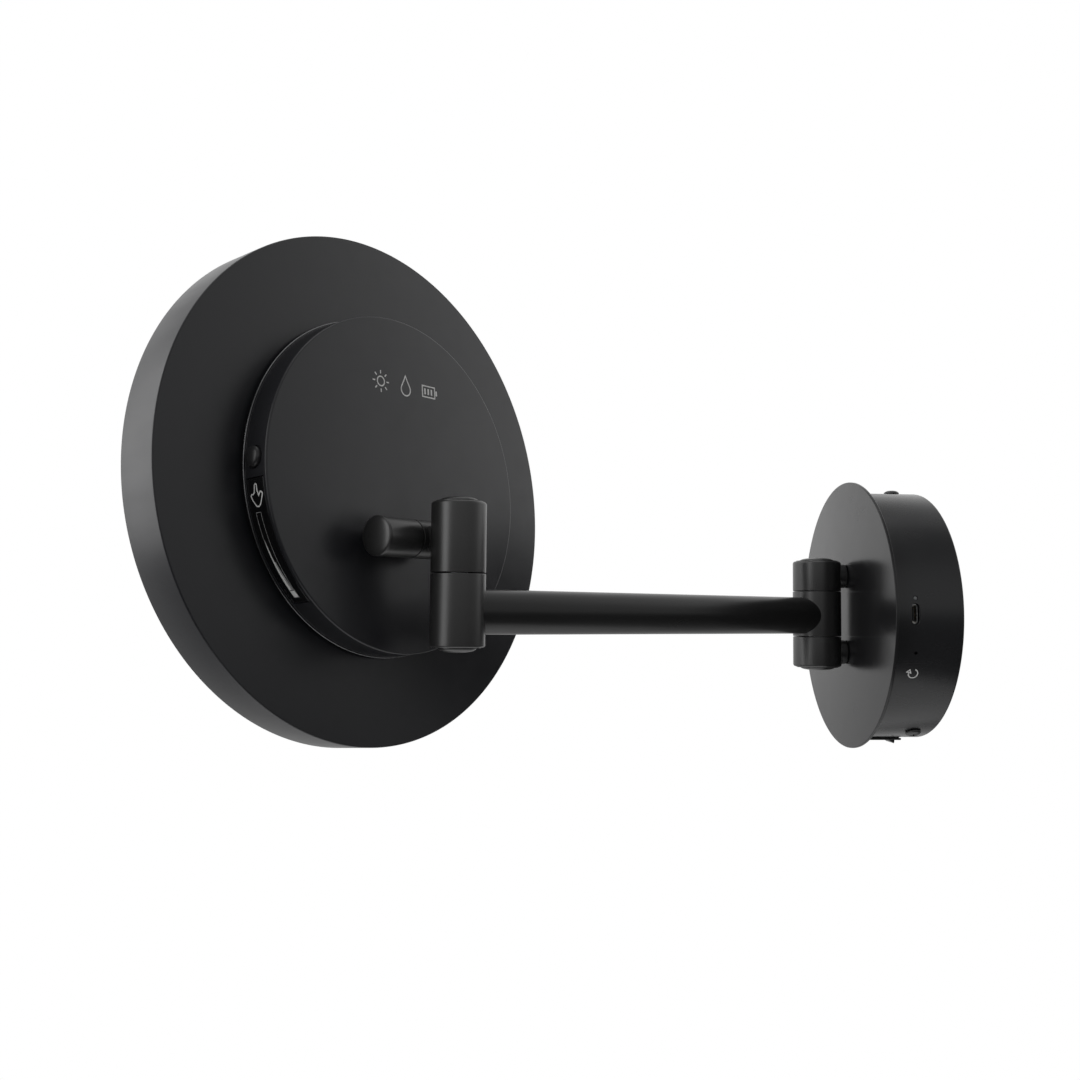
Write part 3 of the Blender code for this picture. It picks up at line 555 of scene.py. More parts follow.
def front_disc():
    low, high = local_box("front_plate")
    radius, edge = radius_about_y("front_plate"), 0.4 * MM
    outline = fillet([(0, -high.y), (radius, -high.y, edge), (radius, -low.y, edge), (0, -low.y)])
    disc = turned("front_disc", outline, FACE_ROOM, LARGE)
    holes = []
    for label in ("top", "bottom"):
        place = shift(z=middle_of(f"post_screw_{label}").z) @ FACE_ROOM
        holes.append(rod("post_hole", SCREW_HOLE, 30 * MM, 40 * MM, place))
    dress(cut(disc, *holes), "wall_unit", PLATE_COAT, "black_coat", "front_plate")


def screw_heads():
    """Pan heads with a cross recess, on plain shanks."""
    seat = radius_about_y("drum_housing") + 0.3 * MM
    head, shank, edge = 3.8 * MM, 1.9 * MM, 0.15 * MM
    slot_long, slot_wide, slot_deep = 3.8 * MM, 0.85 * MM, 1.1 * MM
    for label in ("top", "near", "far"):
        node = f"housing_screw_{label}"
        place, top = radial_of(node), radius_about_y(node)
        low = local_box(node, place)[0].z
        outline = [(0, low), (shank, low), (shank, seat), (head - edge, seat), (head, seat + edge)]
        outline += crown_points(head, seat + edge, top, 0.8)
        screw = turned(f"screw_{label}", outline, place, FINE)
        levels = [(0.25 * MM, top - slot_deep), (0, top + 1 * MM)]
        slots = [slab("recess", slot_long, slot_wide, 0.12 * MM, levels, place @ rotate("Z", turn))
                 for turn in (20, 110)]
        dress(cut(screw, *slots), "wall_unit", BARREL_COAT, "black_coat", node)


def charging_inlet():
    """Plated shell, black tongue and gold contacts of the charging inlet."""
    place = radial_of("usb_c_socket")
    wide, tall, wall = 8.9 * MM, 3.0 * MM, 0.35 * MM
    low, mouth = 52 * MM, radius_about_y("usb_c_socket") - 1.75 * MM
    foot_edge, mouth_edge, funnel = 0.4 * MM, 0.12 * MM, 0.1 * MM
    levels = [(foot_edge, low), (0, low + foot_edge), (0, mouth - mouth_edge), (mouth_edge, mouth)]
    shell = slab("inlet_shell", wide, tall, tall / 2, levels, place)
    hollow = slab("inlet_hollow", wide - 2 * wall, tall - 2 * wall, tall / 2 - wall,
                  [(0, 55 * MM), (0, mouth - funnel), (-funnel, mouth + funnel)], place)
    dress(cut(shell, hollow), "wall_unit", NICKEL, "steel", "usb_c_socket")

    tip = mouth - 0.9 * MM
    tongue = slab("inlet_tongue", 6.6 * MM, 0.7 * MM, 0.2 * MM,
                  [(0, 54.4 * MM), (0, tip - 0.2 * MM), (0.15 * MM, tip)], place)
    dress(tongue, "wall_unit", PLASTIC, "black_plastic")

    pitch, size = 0.7 * MM, (0.28 * MM, 0.06 * MM, 3.2 * MM)
    bm = bmesh.new()
    for side in (-1, 1):
        for index in range(8):
            made = bmesh.ops.create_cube(bm, size=1.0)["verts"]
            bmesh.ops.scale(bm, vec=size, verts=made)
            spot = ((index - 3.5) * pitch, side * 0.36 * MM, tip - 2.4 * MM)
            bmesh.ops.translate(bm, vec=spot, verts=made)
    contacts = closed("inlet_contacts", bm)
    contacts.matrix_world = place
    dress(contacts, "wall_unit", GOLD, "steel")


def charge_lens():
    place, top = radial_of("charge_light"), radius_about_y("charge_light") - 0.12 * MM
    radius, low, rise = 0.9 * MM, 54 * MM, 0.35 * MM
    foot = top - rise
    outline = [(0, low), (radius, low), (radius, foot)] + crown_points(radius, foot, top, 1, 8)
    lens = turned("charge_lens", outline, place, FINE)
    dress(lens, "wall_unit", LENS_GREY, "diffuser", "charge_light")


def rocker_switch():
    """Bezel and body of the switch, with the well that the rocker sits in."""
    place = radial_of("power_switch_body")
    seat, top = radius_about_y("drum_housing") + 0.3 * MM, -local_box("power_switch_body")[0].z
    edge = 0.35 * MM
    turns = [radians(18 * step) for step in range(6)]
    rim = [(edge * (1 - cos(turn)), top - edge + edge * sin(turn)) for turn in turns]
    bezel = slab("switch_bezel", 15 * MM, 21 * MM, 1.2 * MM, [(0, seat)] + rim, place)
    stem = slab("switch_stem", 13.2 * MM, 19.2 * MM, 0.5 * MM, [(0, 47 * MM), (0, seat + 0.4 * MM)], place)
    join(bezel, stem)
    levels = [(0, 57.3 * MM), (0, top - 0.2 * MM), (-0.25 * MM, top + 0.1 * MM)]
    well = slab("switch_well", 10.8 * MM, 17.6 * MM, 0.6 * MM, levels, place)
    dress(cut(bezel, well), "wall_unit", PLASTIC, "black_plastic", "power_switch_body")


def rocker_cap():
    """Concave rocker, longer than wide, leaning about the joint's own axis."""
    pivot = Vector(JOINTS["rocker_tilt"]["pos_m"])
    lean = radians(JOINTS["rocker_tilt"]["range_deg"][1] / 2)
    place = Matrix.Translation(pivot) @ rotate("Z", 180)
    place = place @ Matrix.Rotation(radians(180) + lean, 4, "X")
    half, side, sag, tip = 8.0 * MM, 5.1 * MM, 1.7 * MM, 2.2 * MM

    def level(share):
        return tip - sag + sag * share ** 2

    top = [(half * step / 16, level(step / 16)) for step in range(-16, 17)]
    outline = top + [(half, -0.4 * MM), (0, -2.4 * MM), (-half, -0.4 * MM)]
    rocker = skin("rocker_cap", [[(x, y, z) for y, z in outline] for x in (-side, side)])
    rocker.matrix_world = place
    round_edges(rocker, 0.3 * MM)
    dress(rocker, "power_rocker", ROCKER, "gloss_black", "power_rocker")

    out, low, high = 4.6 * MM, -0.03 * MM, 0.04 * MM
    slope = atan(2 * sag * out / half ** 2)
    for label, end in (("on", 1), ("off", -1)):
        spot = place @ shift(y=end * out, z=level(out / half)) @ Matrix.Rotation(end * slope, 4, "X")
        if label == "on":
            mark = slab("switch_mark_on", 0.35 * MM, 2.5 * MM, 0.1 * MM, [(0, low), (0, high)], spot)
        else:
            inner, outer = 0.9 * MM, 1.25 * MM
            ring = [(inner, low), (outer, low), (outer, high), (inner, high)]
            mark = turned("switch_mark_off", ring, spot, FINE)
        dress(mark, "power_rocker", INK, "gloss_black")


# -------- wall hinge and arm

def knuckles():
    """Fixed knuckles of the wall hinge, each with a round post to the front plate."""
    arm_low, arm_high = local_box("arm_hinge_barrel", ARM)
    seam_gap, post_radius, post_start = 0.25 * MM, 6.0 * MM, 5 * MM
    for label, side in (("top", 1), ("bottom", -1)):
        node = f"hinge_knuckle_{label}"
        box = local_box(node, HINGE)
        radius, end = -box[0].y, box[1].y
        low = (arm_high.z if side > 0 else -arm_low.z) + seam_gap
        high = box[1].z if side > 0 else -box[0].z
        outline = fillet([(PIN_BORE, low), (radius, low, 0.3 * MM), (radius, high, SHOULDER),
                          (PIN_BORE, high)])
        knuckle = turned(f"wall_knuckle_{label}", outline, HINGE, side=side)
        stand = HINGE @ shift(z=middle_of(f"post_screw_{label}").z) @ FACE_WALL
        outline = fillet([(0, post_start), (post_radius, post_start), (post_radius, end, 0.5 * MM), (0, end)])
        post = turned(f"wall_post_{label}", outline, stand)
        tap = rod("post_tap", SCREW_HOLE, 5.5 * MM, 25 * MM, stand)
        dress(cut(join(knuckle, post), tap), "wall_unit", BARREL_COAT, "black_coat", node)
        dome(f"hinge_cap_{label}", HINGE, "wall_unit", side, 0.5 * MM)


def dome(node, place, body, side, lift=0.0):
    """Crown in the end of a barrel: narrower than the barrel, rising in one low curve."""
    low, high = local_box(node, place)
    base, tip = (low.z, high.z + lift) if side > 0 else (-high.z, -low.z + lift)
    barrel = radius_about_z(node, place)
    rim, start = barrel - SHOULDER + 0.2 * MM, base + 0.08 * MM
    outline = [(0, base - 0.6 * MM), (rim, base - 0.6 * MM), (rim, base + 0.02 * MM), (CROWN * barrel, start)]
    outline += crown_points(CROWN * barrel, start, tip, 0.8)
    crown = turned(f"crown_{node}", outline, place, side=side)
    dress(crown, body, BARREL_COAT, "black_coat", node)


def arm_barrels():
    """The arm's two barrels, with a washer seat in each seam and a way for the cable."""
    low, high = local_box("arm_hinge_barrel", ARM)
    radius, recess = radius_about_z("arm_hinge_barrel", ARM), 9.0 * MM
    bottom, top = low.z + WASHER_SEAT, high.z - WASHER_SEAT
    outline = fillet([(PIN_BORE, bottom), (recess, bottom), (recess, low.z), (radius, low.z, 0.3 * MM),
                      (radius, high.z, 0.3 * MM), (recess, high.z), (recess, top), (PIN_BORE, top)])
    barrel = turned("arm_barrel", outline, ARM)
    passage = rod("cable_way", CABLE_WAY, 0, 20 * MM, ARM @ FACE_ROOM)
    dress(cut(barrel, passage), "arm", BARREL_COAT, "black_coat", "arm_hinge_barrel")

    low, high = local_box("arm_swivel_barrel", ARM_END)
    radius, recess = radius_about_z("arm_swivel_barrel", ARM_END), 8.5 * MM
    floor, top = low.z + 3 * MM, high.z - WASHER_SEAT
    outline = fillet([(0, low.z), (radius, low.z, 0.8 * MM), (radius, high.z, 0.3 * MM), (recess, high.z),
                      (recess, top), (PIN_BORE, top), (PIN_BORE, floor), (0, floor)])
    barrel = turned("swivel_barrel_lower", outline, ARM_END)
    passage = rod("cable_way", CABLE_WAY, 0, 20 * MM, ARM_END @ FACE_WALL)
    dress(cut(barrel, passage), "arm", BARREL_COAT, "black_coat", "arm_swivel_barrel")
    dome("swivel_cap_bottom", ARM_END, "arm", -1)


def arm_tube():
    """The arm's tube, saddled onto its two barrels."""
    low, high = local_box("arm_tube", ARM)
    radius, wall, sunk, start = (high.x - low.x) / 2, 1.4 * MM, 0.05 * MM, 5 * MM
    run, stretches = ARM_LENGTH - 2 * start, 24
    outline = [(radius - wall, start)]
    outline += [(radius, start + run * step / stretches) for step in range(stretches + 1)]
    outline += [(radius - wall, start + run)]
    tube = turned("arm_pipe", outline, ARM @ shift(z=(low.z + high.z) / 2) @ FACE_ROOM)
    saddles = []
    for node, place in (("arm_hinge_barrel", ARM), ("arm_swivel_barrel", ARM_END)):
        barrel = radius_about_z(node, place) - sunk
        saddles.append(rod("saddle", barrel, -16 * MM, 16 * MM, place, ROUND))
    dress(cut(tube, *saddles), "arm", TUBE_COAT, "black_coat", "arm_tube")


# -------- swivel and tilt

def swivel_upper():
    """Upper half of the swivel with the fixed half of the tilt barrel on its head side."""
    low = local_box("arm_swivel_barrel", SWIVEL)[1].z + 0.4 * MM
    high = local_box("swivel_bracket", SWIVEL)[1].z
    radius, roof = radius_about_z("arm_swivel_barrel", SWIVEL), high - 3 * MM
    outline = fillet([(0, high), (radius, high, SHOULDER), (radius, low, 0.3 * MM), (PIN_BORE, low),
                      (PIN_BORE, roof), (0, roof)])
    barrel = turned("swivel_barrel_upper", outline, SWIVEL)

    stub_radius, seam = radius_about_tilt("tilt_knuckle"), tilt_seam() - 0.4 * MM
    outline = fillet([(0, -seam), (stub_radius, -seam, 0.3 * MM), (stub_radius, seam, 0.15 * MM), (0, seam)])
    stub = turned("tilt_stub", outline, TILT_STUB @ ALONG_X)
    between = SWIVEL @ shift(y=-10.85 * MM, z=TILT_AT.z - SWIVEL_AT.z)
    neck = slab("tilt_neck", 10 * MM, 13 * MM, 1.5 * MM, [(0, -4.5 * MM), (0, 4.5 * MM)],
                between @ FACE_ROOM @ rotate("Z", 90))
    join(barrel, stub, neck)
    hole = rod("tilt_bore", TILT_BORE, -seam + 3 * MM, 20 * MM, TILT_STUB @ ALONG_X)
    dress(cut(barrel, hole), "swivel", BARREL_COAT, "black_coat", "swivel_bracket")
    dome("swivel_cap_top", SWIVEL, "swivel", 1, 0.8 * MM)
    tilt_cap("tilt_cap_inner", TILT_STUB, "swivel", -1)


def radius_about_tilt(node):
    """Radius of a turned node about the tilt axis, from its lowest point."""
    return -local_box(node, TILT)[0].z


def tilt_seam():
    """Middle of the seam between the fixed and the moving half, along the tilt axis."""
    return local_box("tilt_knuckle", TILT)[0].x - 0.2 * MM


def tilt_cap(node, place, body, side):
    """Crowned end cap of the tilt barrel."""
    low, high = local_box(node, place)
    base, tip = (low.x, high.x) if side > 0 else (-high.x, -low.x)
    radius, edge, bevel = high.z, 0.25 * MM, 0.1 * MM
    outline = [(0, base), (radius - bevel, base), (radius, base + bevel), (radius, base + edge)]
    outline += crown_points(radius, base + edge, tip, 0.9)
    crown = turned(f"crown_{node}", outline, place @ ALONG_X, side=side)
    dress(crown, body, BARREL_COAT, "black_coat", node)


def tilt_half():
    """The head's half of the tilt barrel, on its post."""
    low, high = local_box("tilt_knuckle", TILT)
    radius, recess, floor = radius_about_tilt("tilt_knuckle"), 5.6 * MM, low.x + WASHER_SEAT
    outline = fillet([(TILT_BORE, floor), (recess, floor), (recess, low.x), (radius, low.x, 0.15 * MM),
                      (radius, high.x, 0.2 * MM), (TILT_BORE, high.x)])
    knuckle = turned("tilt_barrel", outline, TILT @ ALONG_X)
    stand = TILT @ shift(x=middle_of("tilt_post_screw", TILT).x) @ FACE_ROOM
    post_radius, start, end = 5.0 * MM, 4.5 * MM, -low.y
    outline = fillet([(0, start), (post_radius, start), (post_radius, end, 0.4 * MM), (0, end)])
    post = turned("tilt_post", outline, stand)
    tap = rod("tilt_tap", SCREW_HOLE, 5 * MM, 20 * MM, stand)
    dress(cut(join(knuckle, post), tap), "mirror_head", BARREL_COAT, "black_coat", "tilt_knuckle")
    tilt_cap("tilt_cap_outer", TILT, "mirror_head", 1)


# -------- head

def turned_on_head(name, points, material, slot, *nodes):
    """A large turned piece about the head's axis, with rounded corners."""
    piece = turned(name, fillet(points), HEAD @ FACE_WALL, LARGE)
    dress(piece, "mirror_head", material, slot, *nodes)


def back_shell():
    low, high = local_box("rear_shell", HEAD)
    radius, depth, wall, hole = high.x, low.y, 1.6 * MM, 12 * MM
    inside = radius - wall
    points = [(hole, 0), (radius, 0, 0.55 * MM), (radius, depth, 0.5 * MM), (inside, depth, 0.2 * MM),
              (inside, -wall, 1.0 * MM), (hole, -wall)]
    turned_on_head("back_shell", points, HEAD_COAT, "black_coat", "rear_shell")


def hub_cover():
    """Raised round hub: a thin lip over a shadow gap, a softened face edge, window and button hole."""
    low, high = local_box("hub_housing", HEAD)
    lip_radius, depth, base = high.x, high.y, low.y
    radius = lip_radius - 0.9 * MM
    wall, foot = 1.8 * MM, radius - 0.8 * MM
    lip_top, lip_low, edge = 2.9 * MM, 2.15 * MM, 0.36 * MM
    outline = fillet([(0, depth), (radius, depth, 0.8 * MM), (radius, lip_top, 0.15 * MM),
                      (lip_radius, lip_top, edge), (lip_radius, lip_low, edge), (foot, lip_low), (foot, base),
                      (radius - wall, base), (radius - wall, depth - wall), (0, depth - wall)])
    hub = turned("hub_cover", outline, HEAD @ FACE_WALL, LARGE)

    inside, outside, gap = 62 * MM, 75 * MM, 0.12 * MM
    strip_low, strip_high = local_box("touch_strip", HEAD)
    depths = (strip_low.y - gap, strip_high.y + gap)
    window = arc_bar("strip_window", (inside, outside), depths, STRIP_ANGLES, 64)
    button = radial_of("light_button", HEAD)
    hole = rod("button_hole", button_radius() + 0.3 * MM, inside, outside, button)
    screw = middle_of("tilt_post_screw", HEAD)
    tap = rod("hub_screw_hole", SCREW_HOLE, 5 * MM, 20 * MM, HEAD @ shift(screw.x, 0, screw.z) @ FACE_WALL)
    dress(cut(hub, window, hole, tap), "mirror_head", HEAD_COAT, "black_coat", "hub_housing")

    proud = 0.03 * MM
    inner, outer, top, bottom = lip_radius - edge, lip_radius + proud, lip_top + proud, lip_low - proud
    points = [(inner, top), (outer, top, edge), (outer, bottom, edge), (inner, bottom)]
    turned_on_head("hub_lip", points, POLISHED_EDGE, "black_coat")


def button_radius():
    """Radius of the button's dome: its widest part above the hub's side."""
    side = local_box("hub_housing", HEAD)[1].x
    points = local_points("light_button", radial_of("light_button", HEAD))
    return max(hypot(point.x, point.y) for point in points if point.z > side - 1 * MM)


def arc_bar(name, radii, depths, angles, steps):
    """A curved bar about the head's axis."""
    corners = [(radii[0], depths[0]), (radii[1], depths[0]), (radii[1], depths[1]), (radii[0], depths[1])]
    rings = []
    for step in range(steps + 1):
        turn = radians(angles[0] + (angles[1] - angles[0]) * step / steps)
        rings.append([(r * cos(turn), y, r * sin(turn)) for r, y in corners])
    obj = skin(name, rings)
    obj.matrix_world = HEAD
    return obj


def touch_window():
    """Gloss black insert along the hub's side."""
    low, high = local_box("touch_strip", HEAD)
    outer = radius_about_y("touch_strip", HEAD)
    side = degrees(0.3 * MM / outer)
    angles = (STRIP_ANGLES[0] - side, STRIP_ANGLES[1] + side)
    strip = arc_bar("touch_window", (outer - 1.6 * MM, outer), (low.y, high.y), angles, 96)
    round_edges(strip, 0.22 * MM)
    dress(strip, "mirror_head", STRIP, "gloss_black", "touch_strip")


def push_button():
    """Domed button on a hidden collar."""
    place = radial_of("light_button", HEAD)
    low, high = local_box("light_button", place)
    radius, collar, step = button_radius(), button_radius() + 1 * MM, low.z + 1.2 * MM
    shoulder = high.z - 1.6 * MM
    outline = [(0, low.z), (collar, low.z), (collar, step), (radius, step), (radius, shoulder)]
    outline += crown_points(radius, shoulder, high.z, 0.85, 20)
    button = turned("push_button", outline, place)
    dress(button, "light_button", BUTTON, "black_plastic", "light_button")


def concave_glass():
    """The magnifying glass: one even thickness, hollow towards the user."""
    low, high = local_box("mirror_glass", HEAD)
    radius, front, thick, edge, steps = high.x, low.y, 3.0 * MM, 0.5 * MM, 40
    sag = high.y - front - thick
    face = [(radius * step / steps, front + sag * (1 - (step / steps) ** 2)) for step in range(steps)]
    rim = [(radius - edge, front + 0.05 * MM), (radius, front + edge), (radius, front + thick - edge),
           (radius - edge, front + thick)]
    back = [(r, h + thick) for r, h in reversed(face)]
    turned_on_head("concave_glass", face + rim + back, MIRROR, "mirror", "mirror_glass")


def light_diffuser():
    low, high = local_box("light_ring", HEAD)
    outer, inner, edge = high.x, 88.6 * MM, 0.6 * MM
    points = [(inner, low.y, edge), (outer, low.y, edge), (outer, high.y), (inner, high.y)]
    turned_on_head("light_diffuser", points, DIFFUSER, "diffuser", "light_ring")


def glass_carrier():
    """Black carrier, with its thin wall between the glass and the light ring."""
    low, high = local_box("mirror_carrier", HEAD)
    seat, floor, outer, front = high.y, high.y - 1.5 * MM, high.x, low.y
    hole, wall_in, wall_out, edge = 10 * MM, 86.3 * MM, 88.3 * MM, 0.3 * MM
    points = [(hole, seat), (outer, seat), (outer, floor), (wall_out, floor), (wall_out, front, edge),
              (wall_in, front, edge), (wall_in, floor), (hole, floor)]
    turned_on_head("glass_carrier", points, PLASTIC, "black_plastic", "mirror_carrier")


# -------- printed signs

def stroke(points, width, closed_path):
    """The left and right edges of a pen line of that width along points."""
    count = len(points)
    sides = []
    for index, point in enumerate(points):
        here = Vector(point)
        before = Vector(points[index - 1]) if closed_path or index else None
        after = Vector(points[(index + 1) % count]) if closed_path or index < count - 1 else None
        first = (here - before).normalized() if before else (after - here).normalized()
        second = (after - here).normalized() if after else first
        tangent = (first + second).normalized()
        normal = Vector((-tangent.y, tangent.x))
        reach = width / 2 / max(0.4, normal.dot(Vector((-first.y, first.x))))
        sides.append((here + normal * reach, here - normal * reach))
    return sides


def ink_line(bm, points, width, surface, closed_path=False):
    """One raised pen line. surface(x, y, height) gives the place of a 2D point on the object."""
    rings = []
    for left, right in stroke(points, width, closed_path):
        corners = ((left, 0.0), (right, 0.0), (right, INK_THICK), (left, INK_THICK))
        rings.append([bm.verts.new(surface(point.x, point.y, height)) for point, height in corners])
    pairs = list(zip(rings, rings[1:]))
    if closed_path:
        pairs.append((rings[-1], rings[0]))
    else:
        bm.faces.new(rings[0])
        bm.faces.new(rings[-1])
    for first, second in pairs:
        for side in range(4):
            after = (side + 1) % 4
            bm.faces.new((first[side], first[after], second[after], second[side]))


def arc_points(x, y, radius, start, end, steps):
    """Points on an arc, angles in degrees."""
    turns = [radians(start + (end - start) * step / steps) for step in range(steps + 1)]
    return [(x + radius * cos(turn), y + radius * sin(turn)) for turn in turns]


def strip_face():
    """The touch strip's face: x runs down the strip from its upper end, y towards the hub's face."""
    outer, start = radius_about_y("touch_strip", HEAD), radians(STRIP_ANGLES[0])

    def surface(x, y, lift):
        reach, turn = outer + INK_GAP + lift, start - x / outer
        return (reach * cos(turn), y, reach * sin(turn))
    return surface


def head_sign(obj, ink, slot="gloss_black"):
    obj.matrix_world = HEAD
    dress(obj, "mirror_head", ink, slot)


def sign_hand():
    """A pointing hand at the upper end of the touch strip."""
    start, middle, pen = 2.4 * MM, 8.3 * MM, 0.5 * MM
    hand = [(0.1, 0.0), (0.5, 0.6), (2.9, 0.6), (3.4, 0.9), (4.6, 1.2), (3.3, 2.3), (3.4, 3.0), (4.2, 3.5),
            (6.0, 2.6), (7.7, 1.7), (8.7, 0.5), (8.5, -0.7), (7.4, -1.6), (6.0, -2.5), (4.5, -3.1),
            (3.8, -2.7), (4.0, -1.8), (3.3, -1.0), (0.6, -0.6)]
    bm = bmesh.new()
    ink_line(bm, [(start + x * MM, middle + y * MM) for x, y in hand], pen, strip_face(), True)
    head_sign(closed("sign_hand", bm), INK)


def sign_bar():
    """A bar that fills towards its far end, the plain sign of a dimmer."""
    begin, end = 13.2 * MM, 48.7 * MM
    near, rise, width, thick, pen = 6.3 * MM, 0.6 * MM, 2.7 * MM, 0.03 * MM, 0.2 * MM
    surface = strip_face()

    def spot(share, across):
        """A point of the bar, by its share along and across."""
        return (begin + (end - begin) * share, near + rise * share + width * across)

    bm = bmesh.new()
    shares = [step / 24 for step in range(25)]
    path = [spot(share, 0) for share in shares] + [spot(share, 1) for share in reversed(shares)]
    ink_line(bm, path, pen, surface, True)
    head_sign(closed("sign_bar_outline", bm), GREY_INK)

    # Name, ink, first and last (share along, across from, across to)
    fills = (("wedge", INK, (0.30, 0.05, 0.12), (0.90, 0.05, 0.50)),
             ("grey", GREY_INK, (0.55, 0.30, 0.50), (0.90, 0.56, 0.90)),
             ("end", INK, (0.91, 0.05, 0.95), (0.995, 0.05, 0.95)))
    for label, ink, first, last in fills:
        rings = []
        for step in range(13):
            share, bottom, top = Vector(first).lerp(Vector(last), step / 12)
            x, low = spot(share, bottom)
            high = spot(share, top)[1]
            corners = ((low, 0.0), (high, 0.0), (high, thick), (low, thick))
            rings.append([surface(x, across, lift) for across, lift in corners])
        head_sign(skin(f"sign_bar_{label}", rings), ink)


def signs_on_hub():
    """Three plain symbols in a row: a lamp, a drop and a cell."""
    depth = local_box("hub_housing", HEAD)[1].y
    level, pen, block = 42.2 * MM, 0.55 * MM, 0.9 * MM

    def surface(x, y, lift):
        return (-x, depth + INK_GAP + lift, y)

    def near(middle, points):
        """Points in millimetres about the middle of a symbol."""
        return [(middle + x * MM, level + y * MM) for x, y in points]

    bm = bmesh.new()
    lamp, drop, cell = -10.5 * MM, 3.9 * MM, 18.2 * MM
    ink_line(bm, arc_points(lamp, level, 2.0 * MM, 0, 345, 23), pen, surface, True)
    for index in range(8):
        turn = radians(45 * index)
        ray = [(reach * cos(turn), reach * sin(turn)) for reach in (3.2, 4.6)]
        ink_line(bm, near(lamp, ray), pen, surface)
    outline = arc_points(drop, level - 1.2 * MM, 2.7 * MM, -205, 25, 22)
    ink_line(bm, outline + near(drop, [(1.1, 2.4), (0, 4.6), (-1.1, 2.4)]), pen, surface, True)
    ink_line(bm, near(cell, [(-4.2, -2.4), (3.4, -2.4), (3.4, 2.4), (-4.2, 2.4)]), pen, surface, True)
    ink_line(bm, near(cell, [(4.4, -1.1), (4.4, 1.1)]), block, surface)
    for bar in (-2.6, -0.6, 1.4):
        ink_line(bm, near(cell, [(bar, -1.3), (bar, 1.3)]), block, surface)
    head_sign(closed("signs_hub", bm), INK, "black_coat")


def sign_on_drum():
    """A round arrow beside the reset hole."""
    drum = radius_about_y("drum_housing")
    centre = radial_of("reset_plunger") @ Vector((0, 0, drum))
    angle, depth = atan2(centre.z, centre.x) - radians(9.5), centre.y

    def surface(x, y, lift):
        turn = angle + x / drum
        reach = drum + INK_GAP + lift
        return (reach * cos(turn), depth + y, reach * sin(turn))

    bm = bmesh.new()
    radius, pen, head, first, last = 2.2 * MM, 0.5 * MM, 1.0 * MM, 20, 285
    ink_line(bm, arc_points(0, 0, radius, first, last, 24), pen, surface)
    turn = radians(last)
    out, along = Vector((cos(turn), sin(turn))), Vector((-sin(turn), cos(turn)))
    end = out * radius
    arrow = [end + out * head, end + along * 1.5 * head, end - out * head]
    ink_line(bm, arrow, pen, surface, True)
    dress(closed("sign_reset", bm), "wall_unit", INK, "black_coat")


# -------- studio

def studio_floor():
    """Pale round floor well below the object."""
    below = 0.85
    bm = bmesh.new()
    bmesh.ops.create_circle(bm, cap_ends=True, segments=96, radius=0.8)
    floor = linked("studio_floor", bm)
    low, high = cad_box
    floor.location = ((low.x + high.x) / 2, (low.y + high.y) / 2, low.z - below)
    shader = Shader("pale_floor", (0.92, 0.92, 0.92), 0.7)
    shader.socket("Emission Color", (1.0, 1.0, 1.0, 1.0))
    shader.socket("Emission Strength", 0.2)
    shader.set("Roughness", shader.spread(shader.noise(40.0, 3.0), 0.62, 0.78))
    floor.data.materials.append(shader.material)


def soft_light(name, place, size, power):
    light = bpy.data.lights.new(name, "AREA")
    light.shape = "RECTANGLE"
    light.size, light.size_y = size
    light.energy = power
    obj = bpy.data.objects.new(name, light)
    scene.collection.objects.link(obj)
    obj.location = place
    middle = (cad_box[0] + cad_box[1]) / 2
    obj.rotation_euler = (middle - Vector(place)).to_track_quat("-Z", "Y").to_euler()
    obj.visible_camera = False


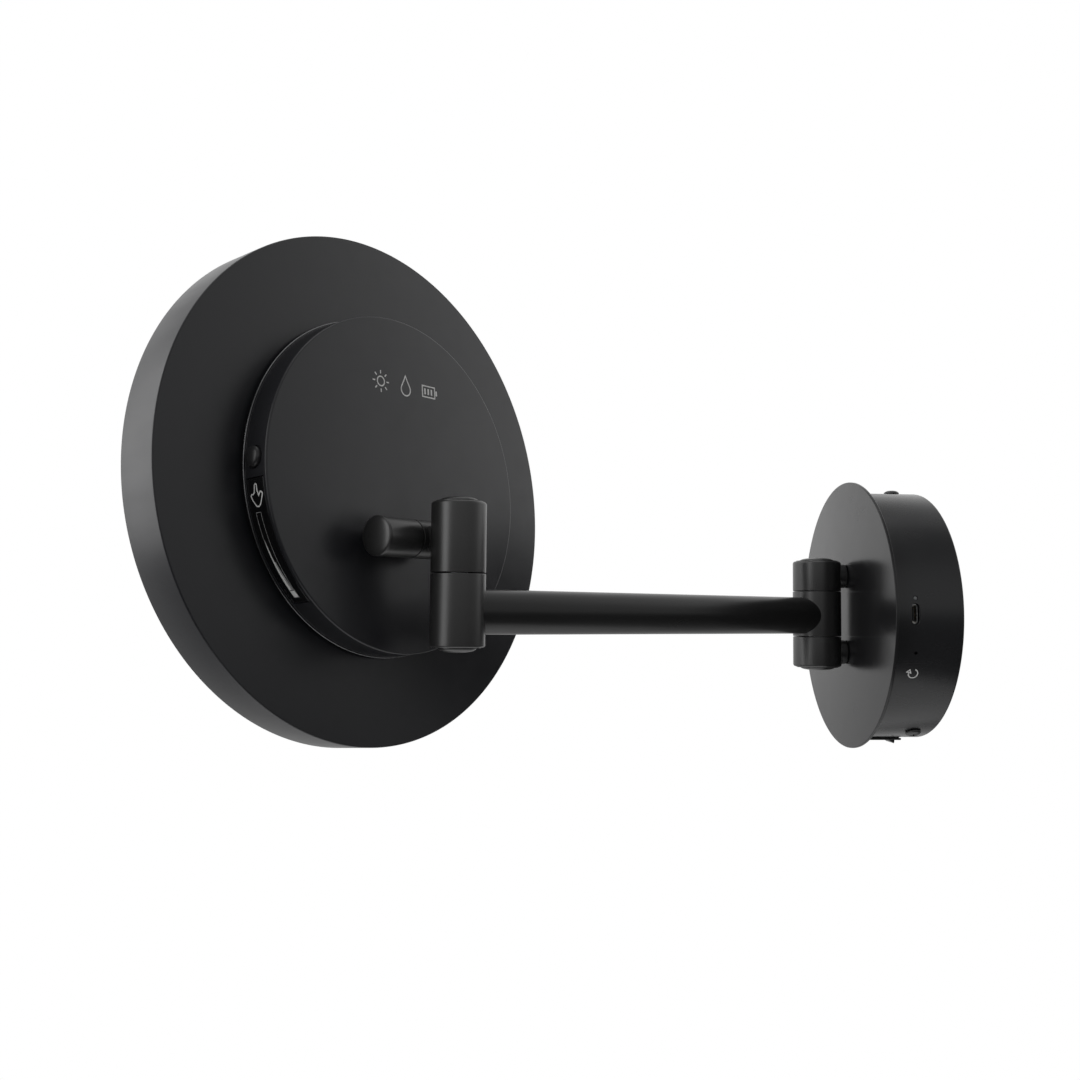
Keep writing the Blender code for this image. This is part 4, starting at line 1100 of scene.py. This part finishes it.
def studio_world():
    """Soft light by direction, mostly from beyond the object and from above the horizon.

    The camera itself sees plain white.
    """
    world = bpy.data.worlds.new("studio")
    scene.world = world
    world.use_nodes = True
    tree = world.node_tree
    nodes, links = tree.nodes, tree.links
    background = nodes["Background"]
    place = nodes.new("ShaderNodeTexCoord").outputs["Generated"]

    def profile(value, stops):
        """A strength by a share of the direction, from stops of (share -1..1, strength)."""
        spread = nodes.new("ShaderNodeMapRange")
        spread.inputs["From Min"].default_value = -1.0
        links.new(value, spread.inputs["Value"])
        node = nodes.new("ShaderNodeValToRGB")
        node.color_ramp.interpolation = "EASE"
        while len(node.color_ramp.elements) < len(stops):
            node.color_ramp.elements.new(0.5)
        for element, (share, strength) in zip(node.color_ramp.elements, stops):
            element.position = (share + 1) / 2
            element.color = (strength, strength, strength, 1.0)
        links.new(spread.outputs["Result"], node.inputs["Fac"])
        return node.outputs["Color"]

    facing = nodes.new("ShaderNodeVectorMath")
    facing.operation = "DOT_PRODUCT"
    facing.inputs[1].default_value = Vector(BACKDROP).normalized()
    links.new(place, facing.inputs[0])
    split = nodes.new("ShaderNodeSeparateXYZ")
    links.new(place, split.inputs["Vector"])
    across, up = split.outputs["X"], split.outputs["Z"]
    facing = profile(facing.outputs["Value"], BEYOND_ACROSS)
    beyond = arithmetic(tree, "MULTIPLY", facing, profile(up, BEYOND_UP))
    sky = arithmetic(tree, "MULTIPLY", profile(across, SKY_ACROSS), profile(up, SKY_UP))
    seen = nodes.new("ShaderNodeLightPath").outputs["Is Camera Ray"]
    strength = arithmetic(tree, "MAXIMUM", arithmetic(tree, "MAXIMUM", beyond, sky), seen)
    links.new(strength, background.inputs["Strength"])
    background.inputs["Color"].default_value = (1.0, 1.0, 1.0, 1.0)


def camera():
    data = bpy.data.cameras.new("camera")
    data.lens = LENS
    data.sensor_width = 36.0
    data.shift_x, data.shift_y = -FRAME_SHIFT, FRAME_SHIFT
    data.clip_start = 0.01
    obj = bpy.data.objects.new("camera", data)
    scene.collection.objects.link(obj)
    aim = rotate("Z", CAMERA_AZIMUTH) @ rotate("X", 90 + CAMERA_PITCH)
    obj.matrix_world = Matrix.Translation(CAMERA_PLACE) @ aim @ rotate("Z", CAMERA_ROLL)
    scene.camera = obj


def studio():
    studio_world()
    studio_floor()
    soft_light("key_left", (0.48, -1.60, 0.34), (1.7, 1.5), 16)
    soft_light("top", (0.3, -0.2, 1.5), (1.2, 1.2), 3)
    camera()
    scene.view_settings.view_transform = "Standard"


# -------- assembly

paint_nodes()
drum_casing()
front_disc()
screw_heads()
charging_inlet()
charge_lens()
rocker_switch()
rocker_cap()
knuckles()
arm_barrels()
arm_tube()
swivel_upper()
tilt_half()
back_shell()
hub_cover()
touch_window()
push_button()
concave_glass()
light_diffuser()
glass_carrier()
sign_hand()
sign_bar()
signs_on_hub()
sign_on_drum()
studio()
